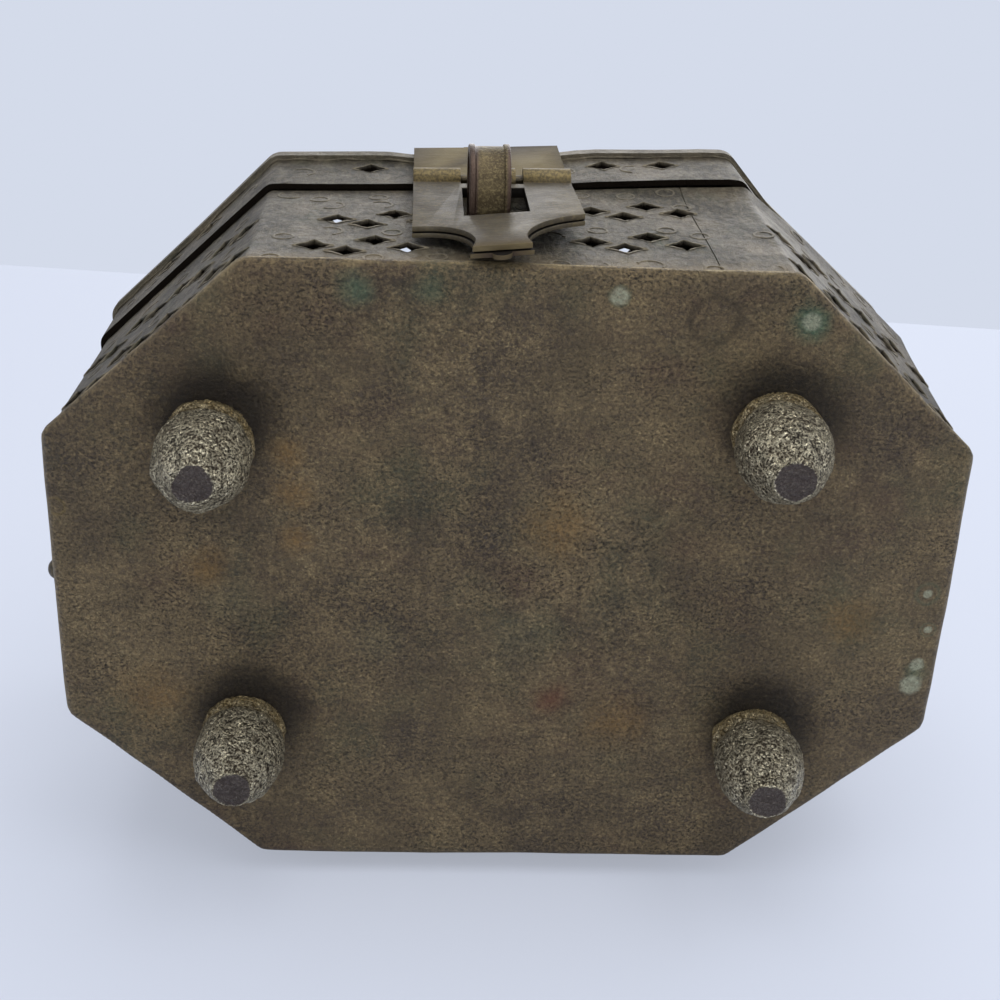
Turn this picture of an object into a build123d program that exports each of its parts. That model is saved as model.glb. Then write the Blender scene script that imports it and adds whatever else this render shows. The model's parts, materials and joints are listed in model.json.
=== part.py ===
from build123d import *
import os
from math import hypot

os.makedirs("parts", exist_ok=True)

# Sizes that drive the whole box, in millimetres. Up is +Z, the front with the hasp faces -Y,
# and the origin lies on the floor between the four feet.
box_length = 150.0
box_width = 112.0
box_height = 84.5
foot_height = 17.0
front_edge = 0.567 * box_length
side_edge = 0.473 * box_width

# Sheet of the bottom and the lid, the thinner sheet of the body wall, and the bends in them
sheet = 1.0
wall_sheet = 0.5
corner_bend = 2.8
pan_edge_bend = 2.0
pan_rim_height = 2.6
lid_edge_bend = 1.6
lid_rim_height = 4.0

# Levels above the floor
base_level = foot_height
shell_height = box_height - foot_height
body_share = 0.7037
rim_level = base_level + body_share * shell_height
lid_gap = 0.7
lid_low_level = rim_level + lid_gap
lid_top_level = box_height

# How far each skin stands out from the outline of the bottom
wall_grow = -sheet
lid_wall_grow = 0.1
lid_top_grow = lid_wall_grow + sheet
wall_height = rim_level - base_level - sheet
lid_wall_height = lid_top_level - sheet - lid_low_level
half_length = box_length / 2
half_width = box_width / 2
wall_face = half_width + wall_grow
lid_wall_face = half_width + lid_wall_grow
lid_rim_face = half_width + lid_top_grow

# Pierced lozenges, each with tips drawn out thin
lozenge_length = 5.4
lozenge_height = 4.4
lozenge_waist = 0.5
lozenge_shoulder = 0.36
cluster_spots = ((-7.4, 0.1), (-2.2, -2.8), (2.2, 3.4), (7.5, -0.5))
row_shares = (0.22, 0.575)
long_wall_share = 0.256
short_wall_share = 0.244
front_clusters = ((-25.1, 10.3), (-22.2, 25.9), (19.2, 15.2), (21.0, 33.2))
lid_hole_pitch = 10.7
lid_hole_share = 0.52
lid_front_shift = 1.85
lid_top_pitch = 10.98
lid_top_margin = 15.0
lid_top_zigzag = 2.95
lid_top_shift = -3.95
joint_share = 0.36
joint_width = 0.22
joint_depth = 0.2

# Hasp, its hinge and its staple
hasp_centre = -3.3
hasp_width = 27.2
hasp_drop = 39.2
hasp_wing_drop = 26.8
hasp_layer = 0.9
hasp_seam = 0.15
hasp_seam_depth = 0.7
hasp_lip = 0.3
nib_radius = 1.5
tongue_width = 8.0
tongue_flare = 0.5
wing_flat = 2.0
wing_clip = 0.3
wing_curve = 0.71
tongue_hollow = 2.4
plate_inset = 0.1
slot_width = 10.6
slot_height = 16.5
slot_low_drop = 22.2
barrel_radius = 1.9
pin_radius = 0.7
running_gap = 0.06
middle_knuckle = 8.2
notch_width = 10.8
notch_reach = 3.0
hasp_axis_y = -(lid_rim_face + barrel_radius)
hasp_axis_z = lid_low_level - 8.5
leaf_sheet = 0.9
leaf_top_length = 12.0
leaf_corner = 0.9
leaf_rivet_spread = 0.3 * hasp_width
leaf_rivet_inset = 7.4
strap_width = 6.7
strap_sheet = 1.0
strap_bead_width = 1.0
strap_bead_rise = 0.35
loop_radius = 6.5
loop_reach = 12.9
loop_level = hasp_axis_z - slot_low_drop + slot_height / 2
staple_centre = hasp_centre - 1.1
clench_length = 3.2
plate_sheet = 1.0
plate_margin = 3.0
plate_corner = 1.5

# Back hinges
hinge_spread = 27.0
hinge_width = 16.0
hinge_middle = 5.2
hinge_gap = 0.4
hinge_sheet = 0.8
hinge_leaf_drop = 12.0
hinge_leaf_corner = 2.0
hinge_barrel_offset = 2.0
pin_head_radius = 1.12
pin_head_length = 0.6
hinge_axis_y = lid_wall_face + hinge_barrel_offset
hinge_axis_z = lid_low_level - lid_gap / 2
rivet_radius = 0.8
rivet_head_radius = 1.5
rivet_head_height = 0.75
rivet_taper = 32
rivet_spread = 4.6
end_stud_radius = 1.9
end_stud_neck = 0.65
left_wall = 6

# Feet, set by hand and so a little uneven
foot_spots = {
    "foot_front_left": (-48.5, -26.1),
    "foot_front_right": (41.5, -29.7),
    "foot_back_left": (-44.6, 28.9),
    "foot_back_right": (44.4, 29.6),
}
foot_radius = 7.8
tenon_radius = 2.0
washer_radius = 4.6
washer_sheet = 1.0
peen_radius = 2.8
peen_height = 1.0
peen_taper = 30


def outline(grow):
    """Corners of the eight-sided plan with every side moved outward by grow."""
    cut_x = half_length - front_edge / 2
    cut_y = half_width - side_edge / 2
    cut = hypot(cut_x, cut_y)
    reach = (cut_y * front_edge / 2 + cut_x * half_width) / cut + grow
    out_x = half_length + grow
    out_y = half_width + grow
    near_x = (reach * cut - cut_x * out_y) / cut_y
    near_y = (reach * cut - cut_y * out_x) / cut_x
    quarter = ((near_x, out_y), (out_x, near_y))
    right = [(x, -y) for x, y in quarter] + [(x, y) for x, y in reversed(quarter)]
    return right + [(-x, -y) for x, y in right]


def wall_faces(grow, level):
    """Upright planes on the eight sides, front first, local x running along the wall, with their lengths."""
    corners = outline(grow)
    ring = corners[-1:] + corners
    sides = []
    for start, end in zip(ring, ring[1:]):
        along = Vector(end[0] - start[0], end[1] - start[1], 0)
        middle = Vector((start[0] + end[0]) / 2, (start[1] + end[1]) / 2, level)
        outward = along.cross(Vector(0, 0, 1))
        sides.append((Plane(origin=middle, x_dir=along, z_dir=outward), along.length))
    return sides


def lozenge_points():
    """One pierced lozenge, with its sides hollowed towards the two side tips."""
    tip = lozenge_length / 2
    crown = lozenge_height / 2
    waist = (lozenge_waist * tip, lozenge_shoulder * crown)
    upper = [(tip, 0), waist, (0, crown), (-waist[0], waist[1])]
    return upper + [(-x, -y) for x, y in upper]


def cluster_holes(number, length):
    """Lozenge places on one body wall: two rows of two clusters of four, set crookedly on the front."""
    spread = length * (long_wall_share if number == 4 else short_wall_share)
    clusters = [(s * spread, share * wall_height) for s in (-1, 1) for share in row_shares]
    if number == 0:
        clusters = front_clusters
    return [(cx + x, cz + z) for cx, cz in clusters for x, z in cluster_spots]


def lid_wall_holes(number, length):
    """Lozenge places on one side of the lid wall, leaving out those behind the hasp and the back hinges."""
    count = round(length / lid_hole_pitch) - 2
    shift = lid_front_shift if number == 0 else 0
    row = [shift + (i - (count - 1) / 2) * lid_hole_pitch for i in range(count)]
    if number == 0:
        row = [x for x in row if abs(x - hasp_centre) > (hasp_width + lozenge_length) / 2]
    if number == 4:
        row = [x for x in row if abs(abs(x) - hinge_spread) > (hinge_width + lozenge_length) / 2]
    return [(x, lid_hole_share * lid_wall_height) for x in row]


def lid_top_holes(number, length):
    """Lozenge places in a zigzag row along one edge of the lid top, none under the hasp's leaf."""
    count = max(2, round(length / lid_top_pitch) - 1)
    shift = lid_top_shift if number == 0 else 0
    row = [
        (shift + (i - (count - 1) / 2) * lid_top_pitch, lid_top_zigzag * (-1 if i % 2 == 0 else 1))
        for i in range(count)
    ]
    covered = (hasp_width + lozenge_length) / 2
    return [(x, y) for x, y in row if number != 0 or y > 0 or abs(x - hasp_centre) > covered]


def side_view(x):
    """Upright plane across the box at x, with local x pointing out of the front and local y up."""
    return Plane(origin=(x, 0, 0), x_dir=(0, -1, 0), z_dir=(-1, 0, 0))


def front_view(y):
    """Upright plane parallel to the front wall at y, with local x to the right and local y up."""
    return Plane(origin=(0, y, 0), x_dir=(1, 0, 0), z_dir=(0, -1, 0))


def back_rivets(spots, outer, inner):
    """Rivets through a back wall from the outer face to the inner one, domed at both ends."""
    with BuildPart() as rivets:
        with BuildSketch(front_view(outer)):
            with Locations(*spots):
                Circle(rivet_radius)
        extrude(amount=outer - inner)
        with BuildSketch(front_view(outer)):
            with Locations(*spots):
                Circle(rivet_head_radius)
        extrude(amount=-rivet_head_height, taper=rivet_taper)
        with BuildSketch(front_view(inner)):
            with Locations(*spots):
                Circle(rivet_head_radius)
        extrude(amount=rivet_head_height, taper=rivet_taper)
    return rivets


def hinge_sides():
    """Middle of the left and the right back hinge."""
    return {"left": -hinge_spread, "right": hinge_spread}


def hinge_rivet_spots(level):
    """Rivet places on both back hinges at one level."""
    return [(x + s * rivet_spread, level) for x in hinge_sides().values() for s in (-1, 1)]


hinge_body_rivet_level = rim_level - 0.68 * hinge_leaf_drop
hinge_lid_leaf_top = lid_top_level - lid_rim_height - 0.6
hinge_lid_rivet_level = (hinge_lid_leaf_top + hinge_axis_z + barrel_radius) / 2
end_stud_level = base_level + pan_rim_height + end_stud_radius
end_stud_face = wall_faces(wall_grow, end_stud_level)[left_wall][0]

# Bottom tray with its short rim turned up outside the wall
with BuildPart() as base_pan:
    with BuildSketch(Plane.XY.offset(base_level)):
        Polygon(*outline(0), align=None)
    extrude(amount=pan_rim_height)
    fillet(base_pan.edges().filter_by(Axis.Z), corner_bend)
    fillet(base_pan.faces().sort_by(Axis.Z)[0].edges(), pan_edge_bend)
    with BuildSketch(Plane.XY.offset(base_level + sheet)) as pan_inside:
        Polygon(*outline(wall_grow), align=None)
        fillet(pan_inside.vertices(), corner_bend - sheet)
    extrude(amount=pan_rim_height, mode=Mode.SUBTRACT)
    with BuildSketch(Plane.XY.offset(base_level)):
        with Locations(*foot_spots.values()):
            Circle(tenon_radius)
    extrude(amount=sheet, mode=Mode.SUBTRACT)
base_pan.part.label = "base_pan"

# Body wall: one strip bent round into eight sides
with BuildPart() as body_wall:
    with BuildSketch(Plane.XY.offset(base_level + sheet)) as wall_ring:
        Polygon(*outline(wall_grow), align=None)
        fillet(wall_ring.vertices(), corner_bend - sheet)
        offset(amount=-wall_sheet, mode=Mode.SUBTRACT)
    extrude(amount=wall_height)
    for number, (face, length) in enumerate(wall_faces(wall_grow, base_level + sheet)):
        with BuildSketch(face):
            with Locations(*cluster_holes(number, length)):
                Polygon(*lozenge_points(), align=None)
        extrude(amount=-2 * sheet, mode=Mode.SUBTRACT)
    # Joint where the two ends of the strip meet, on the front wall at the right
    with BuildSketch(front_view(-wall_face)):
        with Locations((joint_share * front_edge, base_level + sheet + wall_height / 2)):
            Rectangle(joint_width, wall_height)
    extrude(amount=-joint_depth, mode=Mode.SUBTRACT)
    # Slots for the two tangs of the staple
    with BuildSketch(front_view(-wall_face)):
        for s in (-1, 1):
            with Locations((staple_centre, loop_level + s * (loop_radius - strap_sheet / 2))):
                Rectangle(strap_width, strap_sheet)
    extrude(amount=-2 * sheet, mode=Mode.SUBTRACT)
    # Rivet holes of the back hinges
    with BuildSketch(front_view(wall_face)):
        with Locations(*hinge_rivet_spots(hinge_body_rivet_level)):
            Circle(rivet_radius)
    extrude(amount=2 * sheet, mode=Mode.SUBTRACT)
    # Hole of the stud in the left end wall
    with BuildSketch(end_stud_face):
        Circle(rivet_radius)
    extrude(amount=-2 * sheet, mode=Mode.SUBTRACT)
body_wall.part.label = "body_wall"

# Round-headed stud low down in the middle of the left end wall
with BuildPart() as end_stud:
    stud_section = Plane(origin=end_stud_face.origin, x_dir=end_stud_face.z_dir, z_dir=end_stud_face.x_dir)
    with BuildSketch(stud_section):
        with Locations((end_stud_neck, 0)):
            Circle(end_stud_radius)
        with Locations((end_stud_neck / 2, 0)):
            Rectangle(end_stud_neck, 2 * end_stud_radius)
        with Locations((-end_stud_radius, 0)):
            Rectangle(2 * end_stud_radius, 4 * end_stud_radius, mode=Mode.SUBTRACT)
        with Locations((0, -end_stud_radius)):
            Rectangle(8 * end_stud_radius, 2 * end_stud_radius, mode=Mode.SUBTRACT)
    revolve(axis=Axis(end_stud_face.origin, end_stud_face.z_dir))
    with BuildSketch(end_stud_face):
        Circle(rivet_radius)
    extrude(amount=-wall_sheet)
    with BuildSketch(end_stud_face.offset(-wall_sheet)):
        Circle(rivet_head_radius)
    extrude(amount=-rivet_head_height, taper=rivet_taper)
end_stud.part.label = "end_stud"


def make_foot(spot):
    """Cast foot: collar, groove, swelling barrel narrowing to a flat worn end, and a peened tenon."""
    x, y = spot
    profile = (
        (0.93, 0.00), (0.98, -0.04), (0.97, -0.10), (0.90, -0.14), (0.89, -0.17), (0.96, -0.23),
        (1.00, -0.34), (1.00, -0.47), (0.96, -0.59), (0.87, -0.71), (0.75, -0.81), (0.62, -0.89),
        (0.52, -0.95), (0.45, -0.98), (0.38, -1.00),
    )
    peen_level = base_level + sheet + washer_sheet
    with BuildPart() as foot:
        with BuildSketch(Plane(origin=(x, y, base_level), x_dir=(1, 0, 0), z_dir=(0, -1, 0))):
            with BuildLine():
                skin = [(r * foot_radius, h * foot_height) for r, h in profile]
                Polyline((0, 0), *skin, (0, -foot_height), close=True)
            make_face()
        revolve(axis=Axis((x, y, 0), (0, 0, 1)))
        with BuildSketch(Plane.XY.offset(base_level)):
            with Locations((x, y)):
                Circle(tenon_radius)
        extrude(amount=sheet + washer_sheet)
        with BuildSketch(Plane.XY.offset(peen_level)):
            with Locations((x, y)):
                Circle(peen_radius)
        extrude(amount=peen_height, taper=peen_taper)
    return foot


foot_front_left = make_foot(foot_spots["foot_front_left"])
foot_front_left.part.label = "foot_front_left"
foot_front_right = make_foot(foot_spots["foot_front_right"])
foot_front_right.part.label = "foot_front_right"
foot_back_left = make_foot(foot_spots["foot_back_left"])
foot_back_left.part.label = "foot_back_left"
foot_back_right = make_foot(foot_spots["foot_back_right"])
foot_back_right.part.label = "foot_back_right"

# Washers inside, under the peened tenons
with BuildPart() as foot_washers:
    with BuildSketch(Plane.XY.offset(base_level + sheet)):
        with Locations(*foot_spots.values()):
            Circle(washer_radius)
            Circle(tenon_radius, mode=Mode.SUBTRACT)
    extrude(amount=washer_sheet)
foot_washers.part.label = "foot_washers"


def loop_outline(radius, thickness, leg_start):
    """Side view of the staple's loop: two legs from leg_start and a half ring of the given outer radius."""
    bend = wall_face + loop_reach - loop_radius
    with Locations((bend, loop_level)):
        Circle(radius)
        Circle(radius - thickness, mode=Mode.SUBTRACT)
        with Locations((-radius, 0)):
            Rectangle(2 * radius, 2 * radius, mode=Mode.SUBTRACT)
    for s in (-1, 1):
        with Locations(((leg_start + bend) / 2, loop_level + s * (radius - thickness / 2))):
            Rectangle(bend - leg_start, thickness)


# Staple: strap bent into a loop, with a bead along both edges and its tangs clenched inside
with BuildPart() as staple:
    clench_face = wall_face - wall_sheet - plate_sheet
    with BuildSketch(side_view(staple_centre)):
        loop_outline(loop_radius, strap_sheet, clench_face - strap_sheet)
        for s in (-1, 1):
            clench_middle = loop_level + s * (loop_radius + clench_length / 2 - strap_sheet / 2)
            with Locations((clench_face - strap_sheet / 2, clench_middle)):
                Rectangle(strap_sheet, clench_length + strap_sheet)
    extrude(amount=strap_width / 2, both=True)
    for s in (-1, 1):
        with BuildSketch(side_view(staple_centre + s * (strap_width - strap_bead_width) / 2)):
            loop_outline(loop_radius + strap_bead_rise, strap_bead_rise + strap_sheet / 2, wall_face)
        extrude(amount=strap_bead_width / 2, both=True)
staple.part.label = "staple"

# Plate inside the front wall that the tangs are clenched over
with BuildPart() as staple_plate:
    with BuildSketch(front_view(-(wall_face - wall_sheet))):
        with Locations((staple_centre, loop_level)):
            Rectangle(strap_width + 2 * plate_margin, 2 * (loop_radius + clench_length))
            for s in (-1, 1):
                with Locations((0, s * (loop_radius - strap_sheet / 2))):
                    Rectangle(strap_width, strap_sheet, mode=Mode.SUBTRACT)
    extrude(amount=-plate_sheet)
    fillet(staple_plate.edges().filter_by(Axis.Y).group_by(Axis.Z)[0], plate_corner)
    fillet(staple_plate.edges().filter_by(Axis.Y).group_by(Axis.Z)[-1], plate_corner)
staple_plate.part.label = "staple_plate"


def hinge_leaf_body(x):
    """Body leaf of a back hinge: plate on the wall, and an outer knuckle at each end."""
    leaf_low = rim_level - hinge_leaf_drop
    leaf_top = hinge_axis_z - barrel_radius + hinge_sheet
    outer_knuckle = (hinge_width - hinge_middle) / 2 - hinge_gap
    with BuildPart() as leaf:
        with BuildSketch(front_view(wall_face)):
            with Locations((x, (leaf_low + leaf_top) / 2)):
                Rectangle(hinge_width, leaf_top - leaf_low)
        extrude(amount=-hinge_sheet)
        fillet(leaf.edges().filter_by(Axis.Y).group_by(Axis.Z)[0], hinge_leaf_corner)
        for s in (-1, 1):
            knuckle_middle = x + s * (hinge_width - outer_knuckle) / 2
            with BuildSketch(side_view(knuckle_middle)):
                with Locations((-hinge_axis_y, hinge_axis_z)):
                    Circle(barrel_radius)
                with Locations((-(wall_face + hinge_axis_y) / 2, leaf_top - hinge_sheet / 2)):
                    Rectangle(hinge_axis_y - wall_face, hinge_sheet)
            extrude(amount=outer_knuckle / 2, both=True)
        with BuildSketch(side_view(x)):
            with Locations((-hinge_axis_y, hinge_axis_z)):
                Circle(pin_radius)
        extrude(amount=hinge_width, both=True, mode=Mode.SUBTRACT)
        with BuildSketch(front_view(wall_face)):
            with Locations(*[(x + s * rivet_spread, hinge_body_rivet_level) for s in (-1, 1)]):
                Circle(rivet_radius)
        extrude(amount=-2 * hinge_sheet, mode=Mode.SUBTRACT)
    return leaf


hinge_body_leaf_left = hinge_leaf_body(hinge_sides()["left"])
hinge_body_leaf_left.part.label = "hinge_body_leaf_left"
hinge_body_leaf_right = hinge_leaf_body(hinge_sides()["right"])
hinge_body_leaf_right.part.label = "hinge_body_leaf_right"


def hinge_pin(x):
    """Hinge pin with a small head at each end."""
    with BuildPart() as pin:
        with BuildSketch(side_view(x)):
            with Locations((-hinge_axis_y, hinge_axis_z)):
                Circle(pin_radius)
        extrude(amount=hinge_width / 2, both=True)
        for s in (-1, 1):
            with BuildSketch(side_view(x + s * (hinge_width + pin_head_length) / 2)):
                with Locations((-hinge_axis_y, hinge_axis_z)):
                    Circle(pin_head_radius)
            extrude(amount=pin_head_length / 2, both=True)
    return pin


hinge_pin_left = hinge_pin(hinge_sides()["left"])
hinge_pin_left.part.label = "hinge_pin_left"
hinge_pin_right = hinge_pin(hinge_sides()["right"])
hinge_pin_right.part.label = "hinge_pin_right"

# Rivets that hold the back hinges to the body
body_rivet_spots = hinge_rivet_spots(hinge_body_rivet_level)
hinge_body_rivets = back_rivets(body_rivet_spots, wall_face + hinge_sheet, wall_face - wall_sheet)
hinge_body_rivets.part.label = "hinge_body_rivets"

# Lid wall: a low pierced strip that stands a little outside the body wall
with BuildPart() as lid_wall:
    with BuildSketch(Plane.XY.offset(lid_low_level)) as lid_ring:
        Polygon(*outline(lid_wall_grow), align=None)
        fillet(lid_ring.vertices(), corner_bend)
        offset(amount=-sheet, mode=Mode.SUBTRACT)
    extrude(amount=lid_wall_height)
    for number, (face, length) in enumerate(wall_faces(lid_wall_grow, lid_low_level)):
        with BuildSketch(face):
            with Locations(*lid_wall_holes(number, length)):
                Polygon(*lozenge_points(), align=None)
        extrude(amount=-2 * sheet, mode=Mode.SUBTRACT)
    with BuildSketch(front_view(lid_wall_face)):
        with Locations(*hinge_rivet_spots(hinge_lid_rivet_level)):
            Circle(rivet_radius)
    extrude(amount=2 * sheet, mode=Mode.SUBTRACT)
lid_wall.part.label = "lid_wall"

leaf_rivet_spots = [(hasp_centre + s * leaf_rivet_spread, leaf_rivet_inset - lid_rim_face) for s in (-1, 1)]

# Lid top: sheet with its edge turned down over the lid wall
with BuildPart() as lid_top:
    with BuildSketch(Plane.XY.offset(lid_top_level - lid_rim_height)):
        Polygon(*outline(lid_top_grow), align=None)
    extrude(amount=lid_rim_height)
    fillet(lid_top.edges().filter_by(Axis.Z), corner_bend + sheet)
    fillet(lid_top.faces().sort_by(Axis.Z)[-1].edges(), lid_edge_bend)
    with BuildSketch(Plane.XY.offset(lid_top_level - lid_rim_height)) as lid_inside:
        Polygon(*outline(lid_wall_grow), align=None)
        fillet(lid_inside.vertices(), corner_bend)
    extrude(amount=lid_rim_height - sheet, mode=Mode.SUBTRACT)
    # A row of lozenges along each edge, which the light seen through the front wall calls for
    for number, (face, length) in enumerate(wall_faces(-lid_top_margin, lid_top_level)):
        with BuildSketch(Plane(origin=face.origin, x_dir=face.x_dir, z_dir=(0, 0, 1))):
            with Locations(*lid_top_holes(number, length)):
                Polygon(*lozenge_points(), align=None)
        extrude(amount=-2 * sheet, mode=Mode.SUBTRACT)
    with BuildSketch(Plane.XY.offset(lid_top_level)):
        with Locations(*leaf_rivet_spots):
            Circle(rivet_radius)
    extrude(amount=-2 * sheet, mode=Mode.SUBTRACT)
lid_top.part.label = "lid_top"


def hinge_leaf_lid(x):
    """Lid leaf of a back hinge: plate on the lid wall and the middle knuckle."""
    leaf_low = hinge_axis_z + barrel_radius - hinge_sheet
    with BuildPart() as leaf:
        with BuildSketch(front_view(lid_wall_face)):
            with Locations((x, (leaf_low + hinge_lid_leaf_top) / 2)):
                Rectangle(hinge_width, hinge_lid_leaf_top - leaf_low)
        extrude(amount=-hinge_sheet)
        with BuildSketch(side_view(x)):
            with Locations((-hinge_axis_y, hinge_axis_z)):
                Circle(barrel_radius)
            with Locations((-(lid_wall_face + hinge_axis_y) / 2, leaf_low + hinge_sheet / 2)):
                Rectangle(hinge_axis_y - lid_wall_face, hinge_sheet)
        extrude(amount=hinge_middle / 2, both=True)
        with BuildSketch(side_view(x)):
            with Locations((-hinge_axis_y, hinge_axis_z)):
                Circle(pin_radius + running_gap)
        extrude(amount=hinge_width, both=True, mode=Mode.SUBTRACT)
        with BuildSketch(front_view(lid_wall_face)):
            with Locations(*[(x + s * rivet_spread, hinge_lid_rivet_level) for s in (-1, 1)]):
                Circle(rivet_radius)
        extrude(amount=-2 * hinge_sheet, mode=Mode.SUBTRACT)
        # Clear of the body's outer knuckles
        for s in (-1, 1):
            with BuildSketch(side_view(x + s * (hinge_width + hinge_middle) / 4)):
                with Locations((-hinge_axis_y, hinge_axis_z)):
                    Circle(barrel_radius + hinge_gap)
            extrude(amount=(hinge_width - hinge_middle) / 4 + 0.01, both=True, mode=Mode.SUBTRACT)
    return leaf


hinge_lid_leaf_left = hinge_leaf_lid(hinge_sides()["left"])
hinge_lid_leaf_left.part.label = "hinge_lid_leaf_left"
hinge_lid_leaf_right = hinge_leaf_lid(hinge_sides()["right"])
hinge_lid_leaf_right.part.label = "hinge_lid_leaf_right"

# Rivets that hold the back hinges to the lid
lid_rivet_spots = hinge_rivet_spots(hinge_lid_rivet_level)
hinge_lid_rivets = back_rivets(lid_rivet_spots, lid_wall_face + hinge_sheet, lid_wall_face - sheet)
hinge_lid_rivets.part.label = "hinge_lid_rivets"

# Fixed leaf of the hasp: from the lid top, down over the front edge, to the middle knuckle
with BuildPart() as hasp_leaf:
    leaf_top = lid_top_level + leaf_sheet
    leaf_low = hasp_axis_z + barrel_radius + hinge_gap
    with BuildSketch(side_view(hasp_centre)):
        with Locations((lid_rim_face + leaf_sheet - leaf_top_length / 2, lid_top_level + leaf_sheet / 2)):
            Rectangle(leaf_top_length, leaf_sheet)
        with Locations((lid_rim_face + leaf_sheet / 2, (leaf_low + leaf_top) / 2)):
            Rectangle(leaf_sheet, leaf_top - leaf_low)
    extrude(amount=hasp_width / 2, both=True)
    outer_corner = hasp_leaf.edges().filter_by(Axis.X).sort_by(lambda e: e.center().Z - e.center().Y)[-1]
    fillet(outer_corner, leaf_corner)
    with BuildSketch(side_view(hasp_centre)):
        with Locations((lid_rim_face + leaf_sheet / 2, (hasp_axis_z + leaf_top) / 2)):
            Rectangle(leaf_sheet, leaf_top - leaf_sheet - hasp_axis_z)
        with Locations((-hasp_axis_y, hasp_axis_z)):
            Circle(barrel_radius)
    extrude(amount=middle_knuckle / 2, both=True)
    # Notches beside the knuckle
    for s in (-1, 1):
        with BuildSketch(front_view(-lid_rim_face)):
            notch_middle = hasp_centre + s * (middle_knuckle + notch_width) / 4
            with Locations((notch_middle, leaf_low)):
                Rectangle((notch_width - middle_knuckle) / 2, 2 * (notch_reach - barrel_radius))
        extrude(amount=leaf_sheet, mode=Mode.SUBTRACT)
    with BuildSketch(side_view(hasp_centre)):
        with Locations((-hasp_axis_y, hasp_axis_z)):
            Circle(pin_radius)
    extrude(amount=hasp_width, both=True, mode=Mode.SUBTRACT)
    with BuildSketch(Plane.XY.offset(lid_top_level)):
        with Locations(*leaf_rivet_spots):
            Circle(rivet_radius)
    extrude(amount=leaf_sheet, mode=Mode.SUBTRACT)
hasp_leaf.part.label = "hasp_leaf"

# Rivets of the fixed leaf, domed on the lid top and flat inside
with BuildPart() as hasp_leaf_rivets:
    with BuildSketch(Plane.XY.offset(lid_top_level - sheet)):
        with Locations(*leaf_rivet_spots):
            Circle(rivet_radius)
    extrude(amount=sheet + leaf_sheet)
    with BuildSketch(Plane.XY.offset(lid_top_level + leaf_sheet)):
        with Locations(*leaf_rivet_spots):
            Circle(rivet_head_radius)
    extrude(amount=rivet_head_height, taper=rivet_taper)
    with BuildSketch(Plane.XY.offset(lid_top_level - sheet)):
        with Locations(*leaf_rivet_spots):
            Circle(rivet_head_radius)
    extrude(amount=-rivet_head_height, taper=rivet_taper)
hasp_leaf_rivets.part.label = "hasp_leaf_rivets"

# Pin of the hasp, held by the middle knuckle
with BuildPart() as hasp_pin:
    with BuildSketch(side_view(hasp_centre)):
        with Locations((-hasp_axis_y, hasp_axis_z)):
            Circle(pin_radius)
    extrude(amount=hasp_width / 2 - hinge_gap, both=True)
hasp_pin.part.label = "hasp_pin"


# Hasp: sheet folded double round the pin and pressed flat below it, the back layer standing a little
# proud along the lower edge and ending in a small round nib
with BuildPart() as hasp:
    plate_back = -hasp_axis_y - barrel_radius + plate_inset
    layers = (
        (plate_back, hasp_layer - hasp_seam, hasp_lip),
        (plate_back + hasp_layer - hasp_seam, hasp_seam, -hasp_seam_depth),
        (plate_back + hasp_layer, hasp_layer, 0),
    )
    side = hasp_width / 2
    flat_end = side - wing_flat
    hollow_low = tongue_hollow - hasp_drop
    for back, thickness, lip in layers:
        root = tongue_width / 2 + lip
        wing_low = -hasp_wing_drop - lip
        tongue_low = -hasp_drop - lip
        hollow_x = flat_end - wing_curve * (flat_end - root)
        hollow_z = hollow_low + wing_curve * (wing_low - hollow_low)
        face = Plane(origin=(hasp_centre, -back, hasp_axis_z), x_dir=(1, 0, 0), z_dir=(0, -1, 0))
        with BuildSketch(face):
            for s in (-1, 1):
                wing = (s * flat_end, wing_low)
                hollow = (s * hollow_x, hollow_z)
                neck = (s * root, hollow_low)
                with BuildLine():
                    Polyline((0, 0), (s * side, 0), (s * side, wing_low + wing_clip), wing)
                    ThreePointArc(wing, hollow, neck)
                    Polyline(neck, (s * (root + tongue_flare), tongue_low), (0, tongue_low), (0, 0))
                make_face()
            if lip > 0:
                with Locations((0, tongue_low)):
                    Circle(nib_radius)
        extrude(amount=thickness)
    with BuildSketch(side_view(hasp_centre)):
        with Locations((-hasp_axis_y, hasp_axis_z)):
            Circle(barrel_radius)
    extrude(amount=hasp_width / 2, both=True)
    # Slot for the staple, and room for the middle knuckle
    with BuildSketch(front_view(barrel_radius - plate_back)):
        with Locations((hasp_centre, hasp_axis_z - slot_low_drop + slot_height / 2)):
            Rectangle(slot_width, slot_height)
        with Locations((hasp_centre, hasp_axis_z)):
            Rectangle(notch_width, 2 * notch_reach)
    extrude(amount=4 * barrel_radius, mode=Mode.SUBTRACT)
    with BuildSketch(side_view(hasp_centre)):
        with Locations((-hasp_axis_y, hasp_axis_z)):
            Circle(pin_radius + running_gap)
    extrude(amount=hasp_width, both=True, mode=Mode.SUBTRACT)
hasp.part.label = "hasp"

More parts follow.
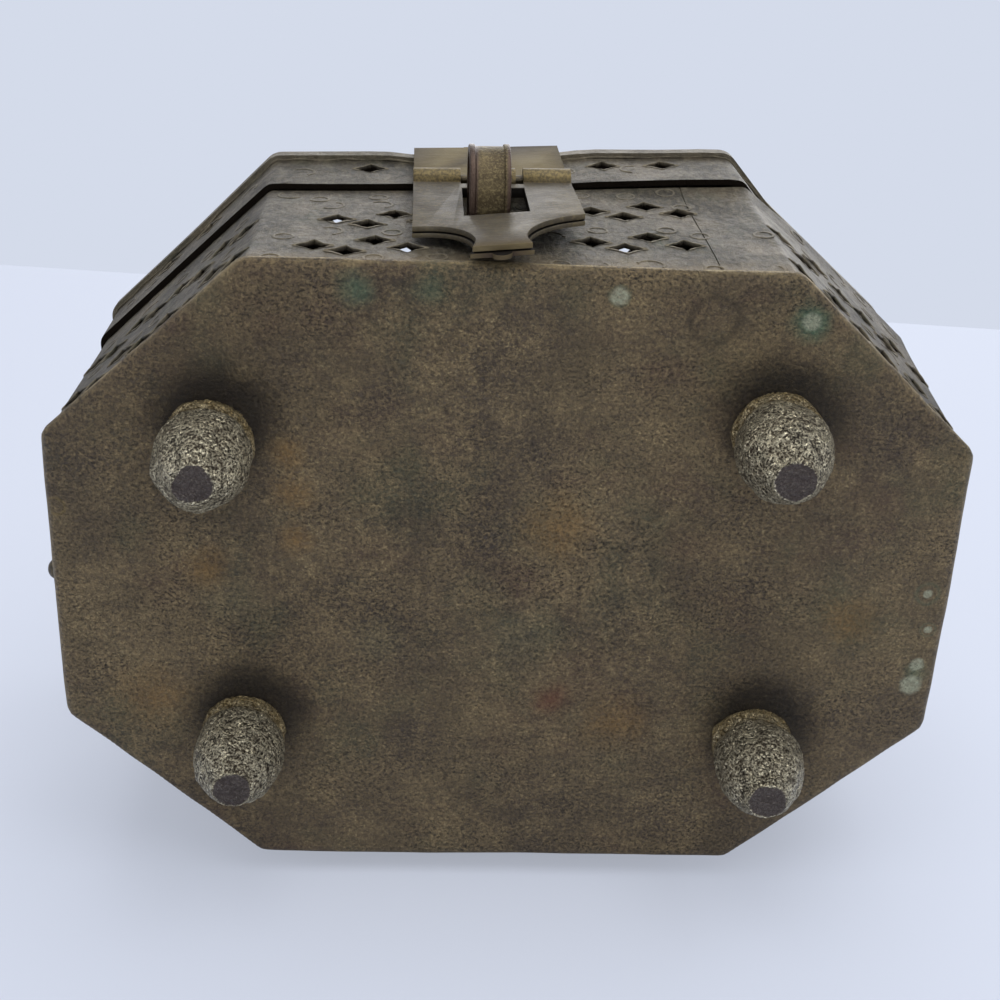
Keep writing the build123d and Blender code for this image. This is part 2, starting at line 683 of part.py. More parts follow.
export_step(base_pan.part, "parts/base_pan.step")
export_step(body_wall.part, "parts/body_wall.step")
export_step(foot_front_left.part, "parts/foot_front_left.step")
export_step(foot_front_right.part, "parts/foot_front_right.step")
export_step(foot_back_left.part, "parts/foot_back_left.step")
export_step(foot_back_right.part, "parts/foot_back_right.step")
export_step(foot_washers.part, "parts/foot_washers.step")
export_step(staple.part, "parts/staple.step")
export_step(staple_plate.part, "parts/staple_plate.step")
export_step(end_stud.part, "parts/end_stud.step")
export_step(hinge_body_leaf_left.part, "parts/hinge_body_leaf_left.step")
export_step(hinge_body_leaf_right.part, "parts/hinge_body_leaf_right.step")
export_step(hinge_pin_left.part, "parts/hinge_pin_left.step")
export_step(hinge_pin_right.part, "parts/hinge_pin_right.step")
export_step(hinge_body_rivets.part, "parts/hinge_body_rivets.step")
export_step(lid_wall.part, "parts/lid_wall.step")
export_step(lid_top.part, "parts/lid_top.step")
export_step(hinge_lid_leaf_left.part, "parts/hinge_lid_leaf_left.step")
export_step(hinge_lid_leaf_right.part, "parts/hinge_lid_leaf_right.step")
export_step(hinge_lid_rivets.part, "parts/hinge_lid_rivets.step")
export_step(hasp_leaf.part, "parts/hasp_leaf.step")
export_step(hasp_leaf_rivets.part, "parts/hasp_leaf_rivets.step")
export_step(hasp_pin.part, "parts/hasp_pin.step")
export_step(hasp.part, "parts/hasp.step")
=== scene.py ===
import json
import math
import random

import bpy
from bpy.props import FloatProperty, FloatVectorProperty, IntProperty, PointerProperty
from mathutils import Matrix, Vector, noise


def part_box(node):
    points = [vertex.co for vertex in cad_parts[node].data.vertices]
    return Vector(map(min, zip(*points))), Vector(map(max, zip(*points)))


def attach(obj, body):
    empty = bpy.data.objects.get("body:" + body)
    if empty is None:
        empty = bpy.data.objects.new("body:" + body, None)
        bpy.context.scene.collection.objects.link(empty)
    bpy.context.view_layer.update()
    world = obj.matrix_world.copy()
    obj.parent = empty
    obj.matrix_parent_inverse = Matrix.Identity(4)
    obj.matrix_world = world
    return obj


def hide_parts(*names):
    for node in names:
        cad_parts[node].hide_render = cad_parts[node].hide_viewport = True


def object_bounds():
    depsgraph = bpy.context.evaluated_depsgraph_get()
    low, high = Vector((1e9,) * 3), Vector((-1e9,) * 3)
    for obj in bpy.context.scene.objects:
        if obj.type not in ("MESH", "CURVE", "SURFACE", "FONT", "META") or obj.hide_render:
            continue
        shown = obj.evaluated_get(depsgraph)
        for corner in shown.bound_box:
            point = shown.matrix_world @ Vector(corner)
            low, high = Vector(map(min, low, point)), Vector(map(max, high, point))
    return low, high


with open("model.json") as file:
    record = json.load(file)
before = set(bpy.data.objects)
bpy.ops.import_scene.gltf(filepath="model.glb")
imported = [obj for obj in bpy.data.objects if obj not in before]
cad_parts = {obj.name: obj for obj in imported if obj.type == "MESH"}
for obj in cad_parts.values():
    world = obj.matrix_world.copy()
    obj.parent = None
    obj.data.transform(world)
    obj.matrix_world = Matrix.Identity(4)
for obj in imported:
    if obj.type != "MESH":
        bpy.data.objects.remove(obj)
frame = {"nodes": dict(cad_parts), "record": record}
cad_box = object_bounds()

bl_info = {
    "name": "Pierced brass trinket box",
    "version": (1, 0, 0),
    "blender": (4, 5, 0),
    "location": "3D View > Sidebar > Trinket Box",
    "description": "Finishes the pieces of an old eight-sided pierced brass trinket box",
    "category": "Add Mesh",
}

MM = 0.001


def linear(code):
    """An sRGB hex colour as linear red, green and blue."""
    channels = [int(code[i:i + 2], 16) / 255 for i in (1, 3, 5)]
    return tuple(c / 12.92 if c <= 0.04045 else ((c + 0.055) / 1.055) ** 2.4 for c in channels)


def colour(name, about, code):
    """A colour setting."""
    return FloatVectorProperty(name=name, description=about, subtype="COLOR", size=3, default=linear(code))


def length(name, about, millimetres):
    """A length setting."""
    return FloatProperty(name=name, description=about, unit="LENGTH", precision=5, default=millimetres * MM)


def angle(name, about, degrees):
    """An angle setting."""
    return FloatProperty(name=name, description=about, subtype="ANGLE", default=math.radians(degrees))


# Sizes of the shell, taken from the frame
tray_low, tray_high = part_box("base_pan")
wall_low, wall_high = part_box("body_wall")
lid_wall_low, lid_wall_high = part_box("lid_wall")
lid_top_low, lid_top_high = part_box("lid_top")
hasp_low, hasp_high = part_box("hasp")
pin_low, pin_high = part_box("hasp_pin")
staple_low, staple_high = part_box("staple")
hinge_pin_low, hinge_pin_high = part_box("hinge_pin_left")
hinge_middle = (hinge_pin_low + hinge_pin_high) / 2
hasp_middle = (hasp_low.x + hasp_high.x) / 2
half_length = tray_high.x
half_width = tray_high.y
front_edge = 0.567 * 2 * half_length
side_edge = 0.473 * 2 * half_width
sheet = 1.0 * MM
foot_names = [n for n in sorted(frame["nodes"]) if n.startswith("foot_") and n != "foot_washers"]
foot_middles = {n: (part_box(n)[0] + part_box(n)[1]) / 2 for n in foot_names}

# Where the old box is bent: the lid's twist turns about a line behind the front, and each bend comes in from
# its start to where it is full
twist_pivot = -0.62 * half_width
corner_start = 40 * MM
corner_full = 52 * MM
corner_way = Vector((0.75, -0.66, 0))
rim_start = 56 * MM
right_start = 5 * MM
right_full = 30 * MM
hasp_reach = 12 * MM
hasp_fade = 7 * MM
hinge_reach = 4 * MM
hinge_free = 16 * MM

# Places of the marks of age on the bottom, in millimetres from its middle, and their sizes
look_spots = {
    "gold": (
        (-54, -6, 12), (-37, -25, 9), (-70, 2, 9), (-62, 16, 15), (-58, 25, 9), (-30, 42, 10), (-23, 21, 9),
        (13, -17, 12), (22, -28, 9), (35, 28, 10), (17, -51, 11), (-26, 50, 9), (-13, -45, 8), (-38, 30, 7),
        (-60, 20, 10), (-34, -16, 8), (13, -12, 9), (-33, -20, 5),
    ),
    "dark": (
        (-4, -37, 12), (3, -24, 9), (5, 45, 18), (30, 45, 13), (-71, -23, 8), (60, -30, 12), (-3, -10, 7),
        (38, -14, 7), (-21, -33, 9), (-14, 30, 8), (18, 4, 7), (2, -46, 9), (-28, 46, 10),
    ),
    "warm": (
        (-36, -24, 4.5), (-35.5, -17, 5), (-35, -9, 4.5), (8, -12, 9), (-60, 22, 9), (-50, -3, 6),
        (20, 26, 8), (58, 4, 7),
    ),
    "green": (
        (-25.3, -51.6, 4.2, 0.55), (-14.0, -52.0, 3.6, 0.3), (44.9, -48.7, 4.4, 0.8), (71.4, 14.5, 3.0, 0.4),
        (2.5, 9.5, 9.0, 0.08), (-46.0, 2.8, 8.0, 0.08), (-22.0, 10.0, 7.0, 0.08),
    ),
    "pale": (
        (44.9, -48.7, 1.8), (14.9, -51.9, 1.9), (70.9, -1.1, 1.0), (72.1, 5.9, 0.9), (71.3, 13.0, 1.6),
        (70.9, 17.1, 2.4),
    ),
    "ring": (
        (70.9, -1.1, 2.6, "#56614c"), (29.8, -48.5, 5.0, "#2b251d"), (14.9, -51.9, 2.2, "#4d5743"),
        (72.1, 5.9, 1.7, "#56614c"), (-73.3, -13.9, 2.0, "#8a7647"),
    ),
}


class SheetLook(bpy.types.PropertyGroup):
    """Sheet metal of the bottom, the walls and the lid."""
    tray_grain: length("Bottom's mesh", "Edge length of the bottom's mesh", 0.72)
    wall_slice: length("Walls' mesh", "Spacing of the cuts that let the walls bend", 4.0)
    warp_size: length("Warp length", "Distance over which the hand-bent sheet wanders", 34.0)
    warp_depth: length("Warp depth", "How far the hand-bent sheet wanders", 0.35)
    warp_seed: IntProperty(name="Warp seed", description="Picks how the hand-bent sheet wanders", default=1)
    twist: angle("Twist", "Turn of the lid's front against the bottom", 2.5)
    bulge: length("Bulge", "How far the body's rim stands out at the right front corner", 1.2)
    shift: length("Shift", "How far the lid is pushed in at the right front corner", 2.3)
    flare: length("Flare", "How far the lid's front edge stands out", 1.0)
    dish_depth: length("Dish depth", "How far the bottom is pulled in round each foot", 0.32)
    burr: length("Burr", "Half the thickness of the burr along the foot of the lid's edge", 0.2)
    # Grime colour, also used for the painted shade in the piercing and on the sheet's edges, and for the
    # painted shadow round the feet
    grime_and_shade: colour("Grime", "Black-brown dirt in corners and holes", "#17120d")
    patina: colour("Patina", "Dark oxide skin of the bottom", "#3a322c")
    brown: colour("Brown", "Thinner brown skin of the bottom", "#524739")
    olive: colour("Olive", "Olive skin where the metal starts to show", "#5d513d")
    ochre: colour("Ochre", "Brown-gold skin worn thin", "#94805d")
    # Also the colour of the painted gold glints on the bottom's grain
    gold: colour("Gold", "Metal rubbed bare", "#b5a276")
    red: colour("Red oxide", "Reddish tint of copper oxide", "#4f3730")
    green: colour("Green tint", "Faint green tint of the skin", "#434b37")
    verdigris: colour("Verdigris", "Green copper salts", "#46705a")
    pale_salt: colour("Pale salt", "Pale crust in the middle of green spots", "#a6a88f")
    wall_dark: colour("Wall patina", "Dark skin of the walls", "#33302a")
    wall_brown: colour("Wall brown", "Grey-brown skin of the walls", "#49443a")
    wall_pale: colour("Wall worn", "Walls rubbed pale", "#857c68")


class CastLook(bpy.types.PropertyGroup):
    """Cast feet."""
    grain: length("Mesh", "Edge length of the feet's mesh", 0.26)
    lump_depth: length("Lump depth", "Height of the casting's large lumps", 0.55)
    wrinkle_depth: length("Wrinkle depth", "Height of the wrinkles that ring the barrel", 0.16)
    grit_depth: length("Grit depth", "Height of the grains left by the sand", 0.07)
    hollow: colour("Hollows", "Dark skin in the hollows", "#241f19")
    skin: colour("Skin", "Brown skin of the casting", "#7f7765")
    # Colour of the painted highlights and glints on the crests
    crest_glint: colour("Crests", "Golden high spots", "#e6dcbc")
    worn: colour("Worn end", "Dull end that the box stands on", "#463d3a")


class HaspLook(bpy.types.PropertyGroup):
    """Hasp, its leaf, the staple and the small fittings."""
    bevel: length("Edge", "Rounding of worn edges", 0.22)
    askew: angle("Askew", "How far the hasp is twisted away from the wall", 6)
    plate: colour("Plate", "Grey-brown skin of the hasp", "#666055")
    shade: colour("Shade", "Darker skin of the hasp", "#4e483f")
    strap: colour("Strap", "Golden-brown skin of the staple", "#5c5037")
    bead: colour("Bead", "Reddish-brown skin of the staple's beads", "#4a3b31")
    knuckle: colour("Knuckle", "Golden skin of the outer knuckles", "#857347")
    bright: colour("Bright", "Brass rubbed bare", "#96875f")


class MarkLook(bpy.types.PropertyGroup):
    """Torn lips of the piercing and the punched marks."""
    lip_rise: length("Lip", "Height of the lip torn up round each lozenge", 0.36)
    lip_spread: length("Lip spread", "Width of that lip", 0.34)
    ring_size: length("Ring", "Diameter of the punched rings", 3.1)
    mark_depth: length("Mark", "How far the punched marks stand up", 0.12)
    seed: IntProperty(name="Seed", description="Start of the random draws", default=7)


class StageLook(bpy.types.PropertyGroup):
    """Table, light and camera."""
    lens: FloatProperty(name="Lens", description="Focal length on a 36 mm sensor", default=55.19)
    roll: angle("Roll", "Camera's roll", 2.644)
    table: colour("Table", "Pale table", "#dae0ee")
    backdrop: colour("Backdrop", "Pale backdrop", "#d4dbea")
    room: colour("Room", "Tint of the light from the room", "#f2f5ff")
    table_gap: length("Table gap", "Distance of the table behind the back hinges", 0.1)


def settings(name):
    """One group of settings."""
    return getattr(bpy.context.scene, "trinket_" + name)


def deselect():
    """Nothing selected, in object mode."""
    if bpy.context.object and bpy.context.object.mode != "OBJECT":
        bpy.ops.object.mode_set(mode="OBJECT")
    bpy.ops.object.select_all(action="DESELECT")


def pick(piece):
    """Only this piece selected and active."""
    deselect()
    piece.select_set(True)
    bpy.context.view_layer.objects.active = piece


def edit(piece, kind="VERT"):
    """This piece in edit mode with everything selected."""
    pick(piece)
    bpy.ops.object.mode_set(mode="EDIT")
    bpy.ops.mesh.select_mode(type=kind)
    bpy.ops.mesh.select_all(action="SELECT")


def node_copy(node, name):
    """A merged copy of a CAD node's mesh, to be worked on as a new piece."""
    source = frame["nodes"][node]
    piece = bpy.data.objects.new(name, source.data.copy())
    bpy.context.scene.collection.objects.link(piece)
    piece.data.materials.clear()
    edit(piece)
    bpy.ops.mesh.remove_doubles(threshold=0.004 * MM)
    bpy.ops.mesh.normals_make_consistent(inside=False)
    bpy.ops.object.mode_set(mode="OBJECT")
    return piece


def apply_modifier(piece, kind, **values):
    """Adds a modifier, sets it and applies it."""
    pick(piece)
    made = piece.modifiers.new(kind.lower(), kind)
    for name, value in values.items():
        setattr(made, name, value)
    bpy.ops.object.modifier_apply(modifier=made.name)


def join(pieces, name):
    """Several objects joined into one at the origin."""
    deselect()
    for piece in pieces:
        piece.select_set(True)
    bpy.context.view_layer.objects.active = pieces[0]
    bpy.ops.object.join()
    bpy.ops.object.transform_apply(location=True, rotation=True, scale=True)
    joined = bpy.context.object
    joined.name = name
    return joined


def copies(template, places):
    """A copy of the template at each matrix; the template itself is removed."""
    made = []
    for place in places:
        pick(template)
        bpy.ops.object.duplicate(linked=False)
        copy = bpy.context.object
        copy.matrix_world = place
        made.append(copy)
    pick(template)
    bpy.ops.object.delete()
    return made


def wander(point, size, seed=0.0):
    """Smooth noise from about -1 to 1 that changes over the given length."""
    return noise.noise(point / size + Vector((seed, 2.3 * seed, 1.7)))


def part_way(value, start, end):
    """How far a value has come from start to end, held from 0 to 1."""
    return min(1.0, max(0.0, (value - start) / (end - start)))


def warp(point):
    """Where a point of the true box lies on the hand-bent one: its lid is twisted at the front, shifted in
    at the right front corner over a body that bulges there, and stands out a little beside the hasp."""
    look = settings("sheet")
    rise = max(0.0, (point.z - tray_high.z) / (lid_top_high.z - tray_high.z))
    front = part_way(-point.y, -half_width, half_width)
    turn = look.twist * rise * front * front * (3 - 2 * front)
    moved = point + Vector((turn * (point.y - twist_pivot), -turn * point.x, 0))

    # Right front corner
    bulge = look.bulge * min(1.0, 1.5 * rise) if point.z < lid_wall_low.z - 0.2 * MM else -look.shift
    at_corner = part_way(point.x, corner_start, corner_full) * min(1.0, 1.6 * front)
    moved += at_corner * bulge * corner_way

    # Front edge of the lid, and the body's rim at the right
    rim = part_way(point.z, rim_start, lid_wall_low.z)
    to_top = max(0.0, (point.z - lid_wall_low.z) / (lid_top_high.z - lid_wall_low.z))
    right = part_way(point.x, right_start, right_full)
    flare = (1 - to_top) * 0.9 * right * rim * rim + to_top * (1.0 - 0.5 * right)
    from_hasp = abs(point.x - hasp_middle) - hasp_reach
    flare *= min(1.0, max(0.1, from_hasp / hasp_fade))
    moved.y -= look.flare * flare * front * front

    # Wandering of the whole sheet, none where the back hinges turn
    from_hinge = math.hypot(point.y - hinge_middle.y, point.z - hinge_middle.z)
    loose = part_way(from_hinge, hinge_reach, hinge_free)
    drift = Vector([wander(moved, look.warp_size, look.warp_seed + 20.0 * axis) for axis in range(3)])
    return moved + loose * look.warp_depth * drift


def shape(piece, move):
    """Moves every vertex by a function of its place and normal."""
    normals = [v.normal.copy() for v in piece.data.vertices]
    for vertex, normal in zip(piece.data.vertices, normals):
        vertex.co = move(vertex.co.copy(), normal)
    piece.data.update()


def mark(piece, domain, values):
    """Stores wear from -1 for grime and painted shade to 1 for rubbed metal, on the piece's faces or points.
    """
    layer = piece.data.attributes.new("wear", "FLOAT", domain)
    layer.data.foreach_set("value", values)


def finish_piece(piece, body, slot, nodes=(), angle=35):
    """Gives a piece its finish and its place in the assembly, inside the true box."""
    low, high = cad_box
    shape(piece, lambda point, normal: Vector(min(max(p, a), b) for p, a, b in zip(point, low, high)))
    pick(piece)
    bpy.ops.object.shade_smooth_by_angle(angle=math.radians(angle))
    piece.data.materials.clear()
    piece.data.materials.append(finish_of(slot))
    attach(piece, body)
    if nodes:
        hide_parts(*nodes)
    return piece


def node(tree, kind, inputs=None, ramp=(), **values):
    """Adds a node, sets its options, ramp and sockets, and links the sockets that are given a socket."""
    made = tree.nodes.new(kind)
    for name, value in values.items():
        setattr(made, name, value)
    for name, value in (inputs or {}).items():
        if isinstance(value, bpy.types.NodeSocket):
            tree.links.new(value, made.inputs[name])
        else:
            made.inputs[name].default_value = value
    if ramp:
        stops = made.color_ramp.elements
        while len(stops) < len(ramp):
            stops.new(1.0)
        for stop, (place, shade) in zip(stops, ramp):
            stop.position = place
            stop.color = (*shade, 1.0)
    return made


def new_material(name):
    """An empty material with its surface shader, its tree and the object's own coordinates."""
    material = bpy.data.materials.new(name)
    material.use_nodes = True
    tree = material.node_tree
    tree.nodes.clear()
    out = node(tree, "ShaderNodeOutputMaterial")
    shader = node(tree, "ShaderNodeBsdfPrincipled")
    tree.links.new(shader.outputs[0], out.inputs["Surface"])
    place = node(tree, "ShaderNodeTexCoord").outputs["Object"]
    return material, tree, shader, place


def span(tree, value, low, high, start=0.0, end=1.0, kind="LINEAR"):
    """A number carried from one range to another, held at its ends."""
    return node(tree, "ShaderNodeMapRange", {
        "Value": value, "From Min": low, "From Max": high, "To Min": start, "To Max": end,
    }, interpolation_type=kind).outputs[0]


def cloud(tree, place, size_mm, low, high, detail=5.0, rough=0.6, squeeze=None):
    """A mask from 0 to 1 of cloudy patches, squeezed along the axes and set apart if no two may coincide."""
    if squeeze:
        apart = [share * by for share, by in zip(squeeze, (0.37, 0.11, 0.23))]
        place = node(tree, "ShaderNodeMapping", {
            "Vector": place, "Location": apart, "Scale": squeeze,
        }).outputs[0]
    made = node(tree, "ShaderNodeTexNoise", {
        "Vector": place, "Scale": 1 / (size_mm * MM), "Detail": detail, "Roughness": rough,
    })
    return span(tree, made.outputs[0], low, high)


def overlap(tree, first, *others):
    """What several masks or shares have in common."""
    for other in others:
        product = node(tree, "ShaderNodeMath", {0: first, 1: other}, operation="MULTIPLY", use_clamp=True)
        first = product.outputs[0]
    return first


def coat(tree, base, shade, *masks):
    """A colour laid over another where all the masks, or shares, overlap."""
    return node(tree, "ShaderNodeMix", {
        0: overlap(tree, *masks), 6: rgba(base), 7: rgba(shade),
    }, data_type="RGBA").outputs[2]


def rgba(shade):
    """A colour setting with full alpha; a socket stays as it is."""
    return shade if isinstance(shade, bpy.types.NodeSocket) else (*shade[:3], 1.0)


def spot(tree, place, middle_mm, radius_mm, softness=0.35, ragged=0.3, hole=0.0):
    """A mask of one ragged round patch, or of a ring round a hole."""
    lump = 0.7 * radius_mm * MM
    jitter = node(tree, "ShaderNodeTexNoise", {"Vector": place, "Scale": 1 / lump, "Detail": 4.0})
    middle = [c * MM for c in middle_mm]
    away = node(tree, "ShaderNodeVectorMath", {0: place, 1: middle}, operation="DISTANCE").outputs["Value"]
    reach = node(tree, "ShaderNodeMath", {
        0: jitter.outputs[0], 1: ragged * radius_mm * MM, 2: away,
    }, operation="MULTIPLY_ADD").outputs[0]
    outer = radius_mm * MM * (1 + ragged / 2)
    inside = span(tree, reach, outer, outer * (1 - softness), kind="SMOOTHSTEP")
    if hole:
        return overlap(tree, inside, span(tree, reach, outer * (hole - 0.2), outer * hole))
    return inside


def relief(tree, layers):
    """Stacks bump layers, each a height, its strength and its depth in millimetres."""
    normal = None
    for height, strength, depth_mm in layers:
        inputs = {"Height": height, "Strength": strength, "Distance": depth_mm * MM}
        if normal:
            inputs["Normal"] = normal
        normal = node(tree, "ShaderNodeBump", inputs).outputs[0]
    return normal


def wire(tree, shader, **sockets):
    """Links or sets the surface shader's sockets by plain name."""
    names = {"base": "Base Color", "metal": "Metallic", "rough": "Roughness", "normal": "Normal",
             "sheen_level": "Specular IOR Level"}
    for name, value in sockets.items():
        if isinstance(value, bpy.types.NodeSocket):
            tree.links.new(value, shader.inputs[names[name]])
        else:
            shader.inputs[names[name]].default_value = value


def wear_and_shade_masks(tree):
    """Masks of grime with painted shade, and of rubbed metal, from the piece's own wear attribute."""
    wear = node(tree, "ShaderNodeAttribute", attribute_name="wear").outputs["Fac"]
    return span(tree, wear, 0.0, -1.0), span(tree, wear, 0.0, 1.0)


def bottom_brass():
    """Rolled sheet brass with a thick brown oxide skin: dull and dark, rubbed through to ochre on the high
    grain with painted gold glints, a painted shadow with grime round the feet, pitted patches, a red-brown
    bloom and a few green salts."""
    look = settings("sheet")
    material, tree, shader, place = new_material("bottom_brass")
    level = tray_low.z / MM
    broad = cloud(tree, place, 30, 0.36, 0.66, detail=9, rough=0.66)
    base = node(tree, "ShaderNodeValToRGB", {"Fac": broad}, ramp=(
        (0.0, look.patina), (0.4, look.brown), (0.85, look.olive), (1.0, look.olive),
    )).outputs[0]
    tint = cloud(tree, place, 19, 0.5, 0.66, detail=6, squeeze=(1.1, 0.9, 1))
    base = coat(tree, base, look.green, tint, 0.5)
    bloom = cloud(tree, place, 15, 0.52, 0.7, detail=6, squeeze=(0.8, 1.2, 1))
    base = coat(tree, base, look.red, bloom, 0.5)

    # Dark soft blotches
    for x, y, size in look_spots["dark"]:
        blotch = spot(tree, place, (x, y, level), size, softness=0.9, ragged=0.8)
        base = coat(tree, base, linear("#312b2d"), blotch, 0.72)

    # Fine grain of the skin, rubbed through in worn patches
    grain = cloud(tree, place, 0.62, 0.4, 0.64, detail=5, rough=0.72)
    zone = cloud(tree, place, 21, 0.4, 0.6, detail=3, squeeze=(1.2, 1.0, 1))
    coarse = span(tree, zone, 0.0, 1.0, 0.35, 0.75)
    base = coat(tree, base, look.ochre, grain, coarse)
    worn = cloud(tree, place, 15, 0.47, 0.66, detail=9, rough=0.74, squeeze=(1.3, 1.0, 1))
    for x, y, size in look_spots["gold"]:
        patch = spot(tree, place, (x, y, level), size, softness=0.85, ragged=0.9)
        worn = node(tree, "ShaderNodeMath", {0: worn, 1: patch}, operation="MAXIMUM").outputs[0]
    speckled = overlap(tree, worn, span(tree, grain, 0.1, 0.8, 0.3, 1.0))
    base = coat(tree, base, look.ochre, speckled, 0.75)
    # Painted gold glints: small highlights painted on the grain of the worn patches
    sparks = cloud(tree, place, 0.5, 0.53, 0.64, detail=4, rough=0.75)
    glints = overlap(tree, span(tree, worn, 0.0, 1.0, 0.3, 1.0), sparks)
    base = coat(tree, base, look.gold, glints, 0.7)

    # Corrosion pits and old scratches
    pitted = cloud(tree, place, 14, 0.36, 0.62, detail=5, squeeze=(0.9, 1.4, 1))
    pits = cloud(tree, place, 0.55, 0.52, 0.64, detail=4, rough=0.7, squeeze=(1, 1.25, 1))
    pits = overlap(tree, pits, span(tree, pitted, 0.0, 1.0, 0.4, 1.0))
    base = coat(tree, base, look.grime_and_shade, pits, span(tree, zone, 0.0, 1.0, 0.55, 1.0))
    streaks = cloud(tree, place, 1.2, 0.46, 0.68, detail=6, rough=0.75, squeeze=(0.14, 1, 1))
    base = coat(tree, base, look.patina, streaks, 0.3)

    # Painted shadow of each foot, with grime, on the bottom in front of it
    for middle in foot_middles.values():
        in_front = (middle.x / MM + 1.2, middle.y / MM - 3.0, level)
        foot_shadow_and_grime = spot(tree, place, in_front, 13.5, softness=0.5, ragged=0.25)
        base = coat(tree, base, look.grime_and_shade, foot_shadow_and_grime, 0.84)

    # Warm golden stains
    for x, y, size in look_spots["warm"]:
        stain = spot(tree, place, (x, y, level), size, softness=0.9, ragged=0.8)
        stain = overlap(tree, stain, span(tree, grain, 0.0, 0.8, 0.3, 0.8))
        base = coat(tree, base, linear("#8a6a3c"), stain)

    # Spots of copper salts
    for x, y, size, strength in look_spots["green"]:
        green = spot(tree, place, (x, y, level), size, softness=0.7, ragged=0.7)
        green = overlap(tree, green, span(tree, grain, 0.0, 0.7, 0.6, 1.0))
        base = coat(tree, base, look.verdigris, green, strength)
    crust = 0.0
    for x, y, size in look_spots["pale"]:
        salt = spot(tree, place, (x, y, level), size, softness=0.4, ragged=0.5)
        crust = node(tree, "ShaderNodeMath", {0: salt, 1: crust}, operation="MAXIMUM").outputs[0]
    crust = overlap(tree, crust, span(tree, grain, 0.0, 0.7, 0.5, 1.0))
    base = coat(tree, base, look.pale_salt, crust)
    for x, y, size, shade in look_spots["ring"]:
        ring = spot(tree, place, (x, y, level), size, softness=0.3, ragged=0.25, hole=0.8)
        base = coat(tree, base, linear(shade), ring, 0.55)
    scar = spot(tree, place, (8.3, 21.5, level), 5, softness=0.8, ragged=0.9)
    base = coat(tree, base, linear("#75402f"), scar, 0.5)

    # Turned-up rim, rubbed bright in streaks
    height = node(tree, "ShaderNodeSeparateXYZ", {"Vector": place}).outputs["Z"]
    rim = span(tree, height, tray_low.z + 0.5 * MM, tray_low.z + 1.7 * MM)
    rub = cloud(tree, place, 2.6, 0.42, 0.62, detail=8, rough=0.8, squeeze=(0.5, 0.5, 2))
    base = coat(tree, base, look.gold, rim, rub, 0.8)
    marred = node(tree, "ShaderNodeMath", {0: glints, 1: pits}, operation="ADD", use_clamp=True).outputs[0]
    rough = span(tree, marred, 0.0, 1.0, 0.5, 0.38)
    dents = cloud(tree, place, 9, 0.3, 0.7, detail=2)
    normal = relief(tree, (
        (dents, 0.4, 0.5), (span(tree, pits, 0.0, 1.0, 1.0, 0.0), 1.0, 0.2), (grain, 1.0, 0.16),
        (streaks, 0.3, 0.07),
    ))
    wire(tree, shader, base=base, metal=0.5, rough=rough, normal=normal)
    return material


def wall_brass():
    """Sheet brass handled for years: a thin grey-brown skin, satin where hands rubbed it, black with painted
    shade and grime in the piercing, pale on torn and punched crests, with a breath of green in places."""
    look = settings("sheet")
    material, tree, shader, place = new_material("wall_brass")
    grime_and_shade, rubbed = wear_and_shade_masks(tree)
    broad = cloud(tree, place, 13, 0.34, 0.66, detail=9, rough=0.66)
    base = node(tree, "ShaderNodeValToRGB", {"Fac": broad}, ramp=(
        (0.0, look.wall_dark), (0.5, look.wall_brown), (1.0, linear("#5e5443")),
    )).outputs[0]
    tint = cloud(tree, place, 9, 0.54, 0.7, detail=6, squeeze=(1.3, 1, 0.8))
    base = coat(tree, base, look.green, tint, 0.4)
    fine = cloud(tree, place, 0.9, 0.44, 0.62, detail=6, rough=0.76, squeeze=(1, 1, 0.4))
    base = coat(tree, base, look.wall_pale, fine, 0.45)
    scuffs = cloud(tree, place, 1.6, 0.5, 0.68, detail=8, rough=0.8, squeeze=(0.6, 0.6, 0.5))
    base = coat(tree, base, look.grime_and_shade, scuffs, 0.6)
    base = coat(tree, base, look.wall_pale, rubbed, 0.8)
    height = node(tree, "ShaderNodeSeparateXYZ", {"Vector": place}).outputs["Z"]
    low_edge = span(tree, height, wall_low.z + 9 * MM, wall_low.z + 0.5 * MM)
    warm = cloud(tree, place, 5, 0.36, 0.6, detail=7)
    base = coat(tree, base, look.ochre, low_edge, warm, 0.6)
    # Painted shade with grime in the piercing and on the sheet's edges, lighter on inner faces and
    # undersides
    base = coat(tree, base, look.grime_and_shade, grime_and_shade)
    dents = cloud(tree, place, 7, 0.3, 0.7, detail=3)
    normal = relief(tree, ((dents, 0.6, 0.6), (scuffs, 0.6, 0.16), (fine, 0.7, 0.1)))
    rough = node(tree, "ShaderNodeMath", {
        0: span(tree, broad, 0.0, 1.0, 0.52, 0.4), 1: overlap(tree, grime_and_shade, 0.5),
    }, operation="ADD", use_clamp=True).outputs[0]
    wire(tree, shader, base=base, metal=span(tree, grime_and_shade, 0.0, 0.8, 0.3, 0.0), rough=rough, normal=normal,
         sheen_level=span(tree, grime_and_shade, 0.0, 0.8, 0.22, 0.06))
    return material


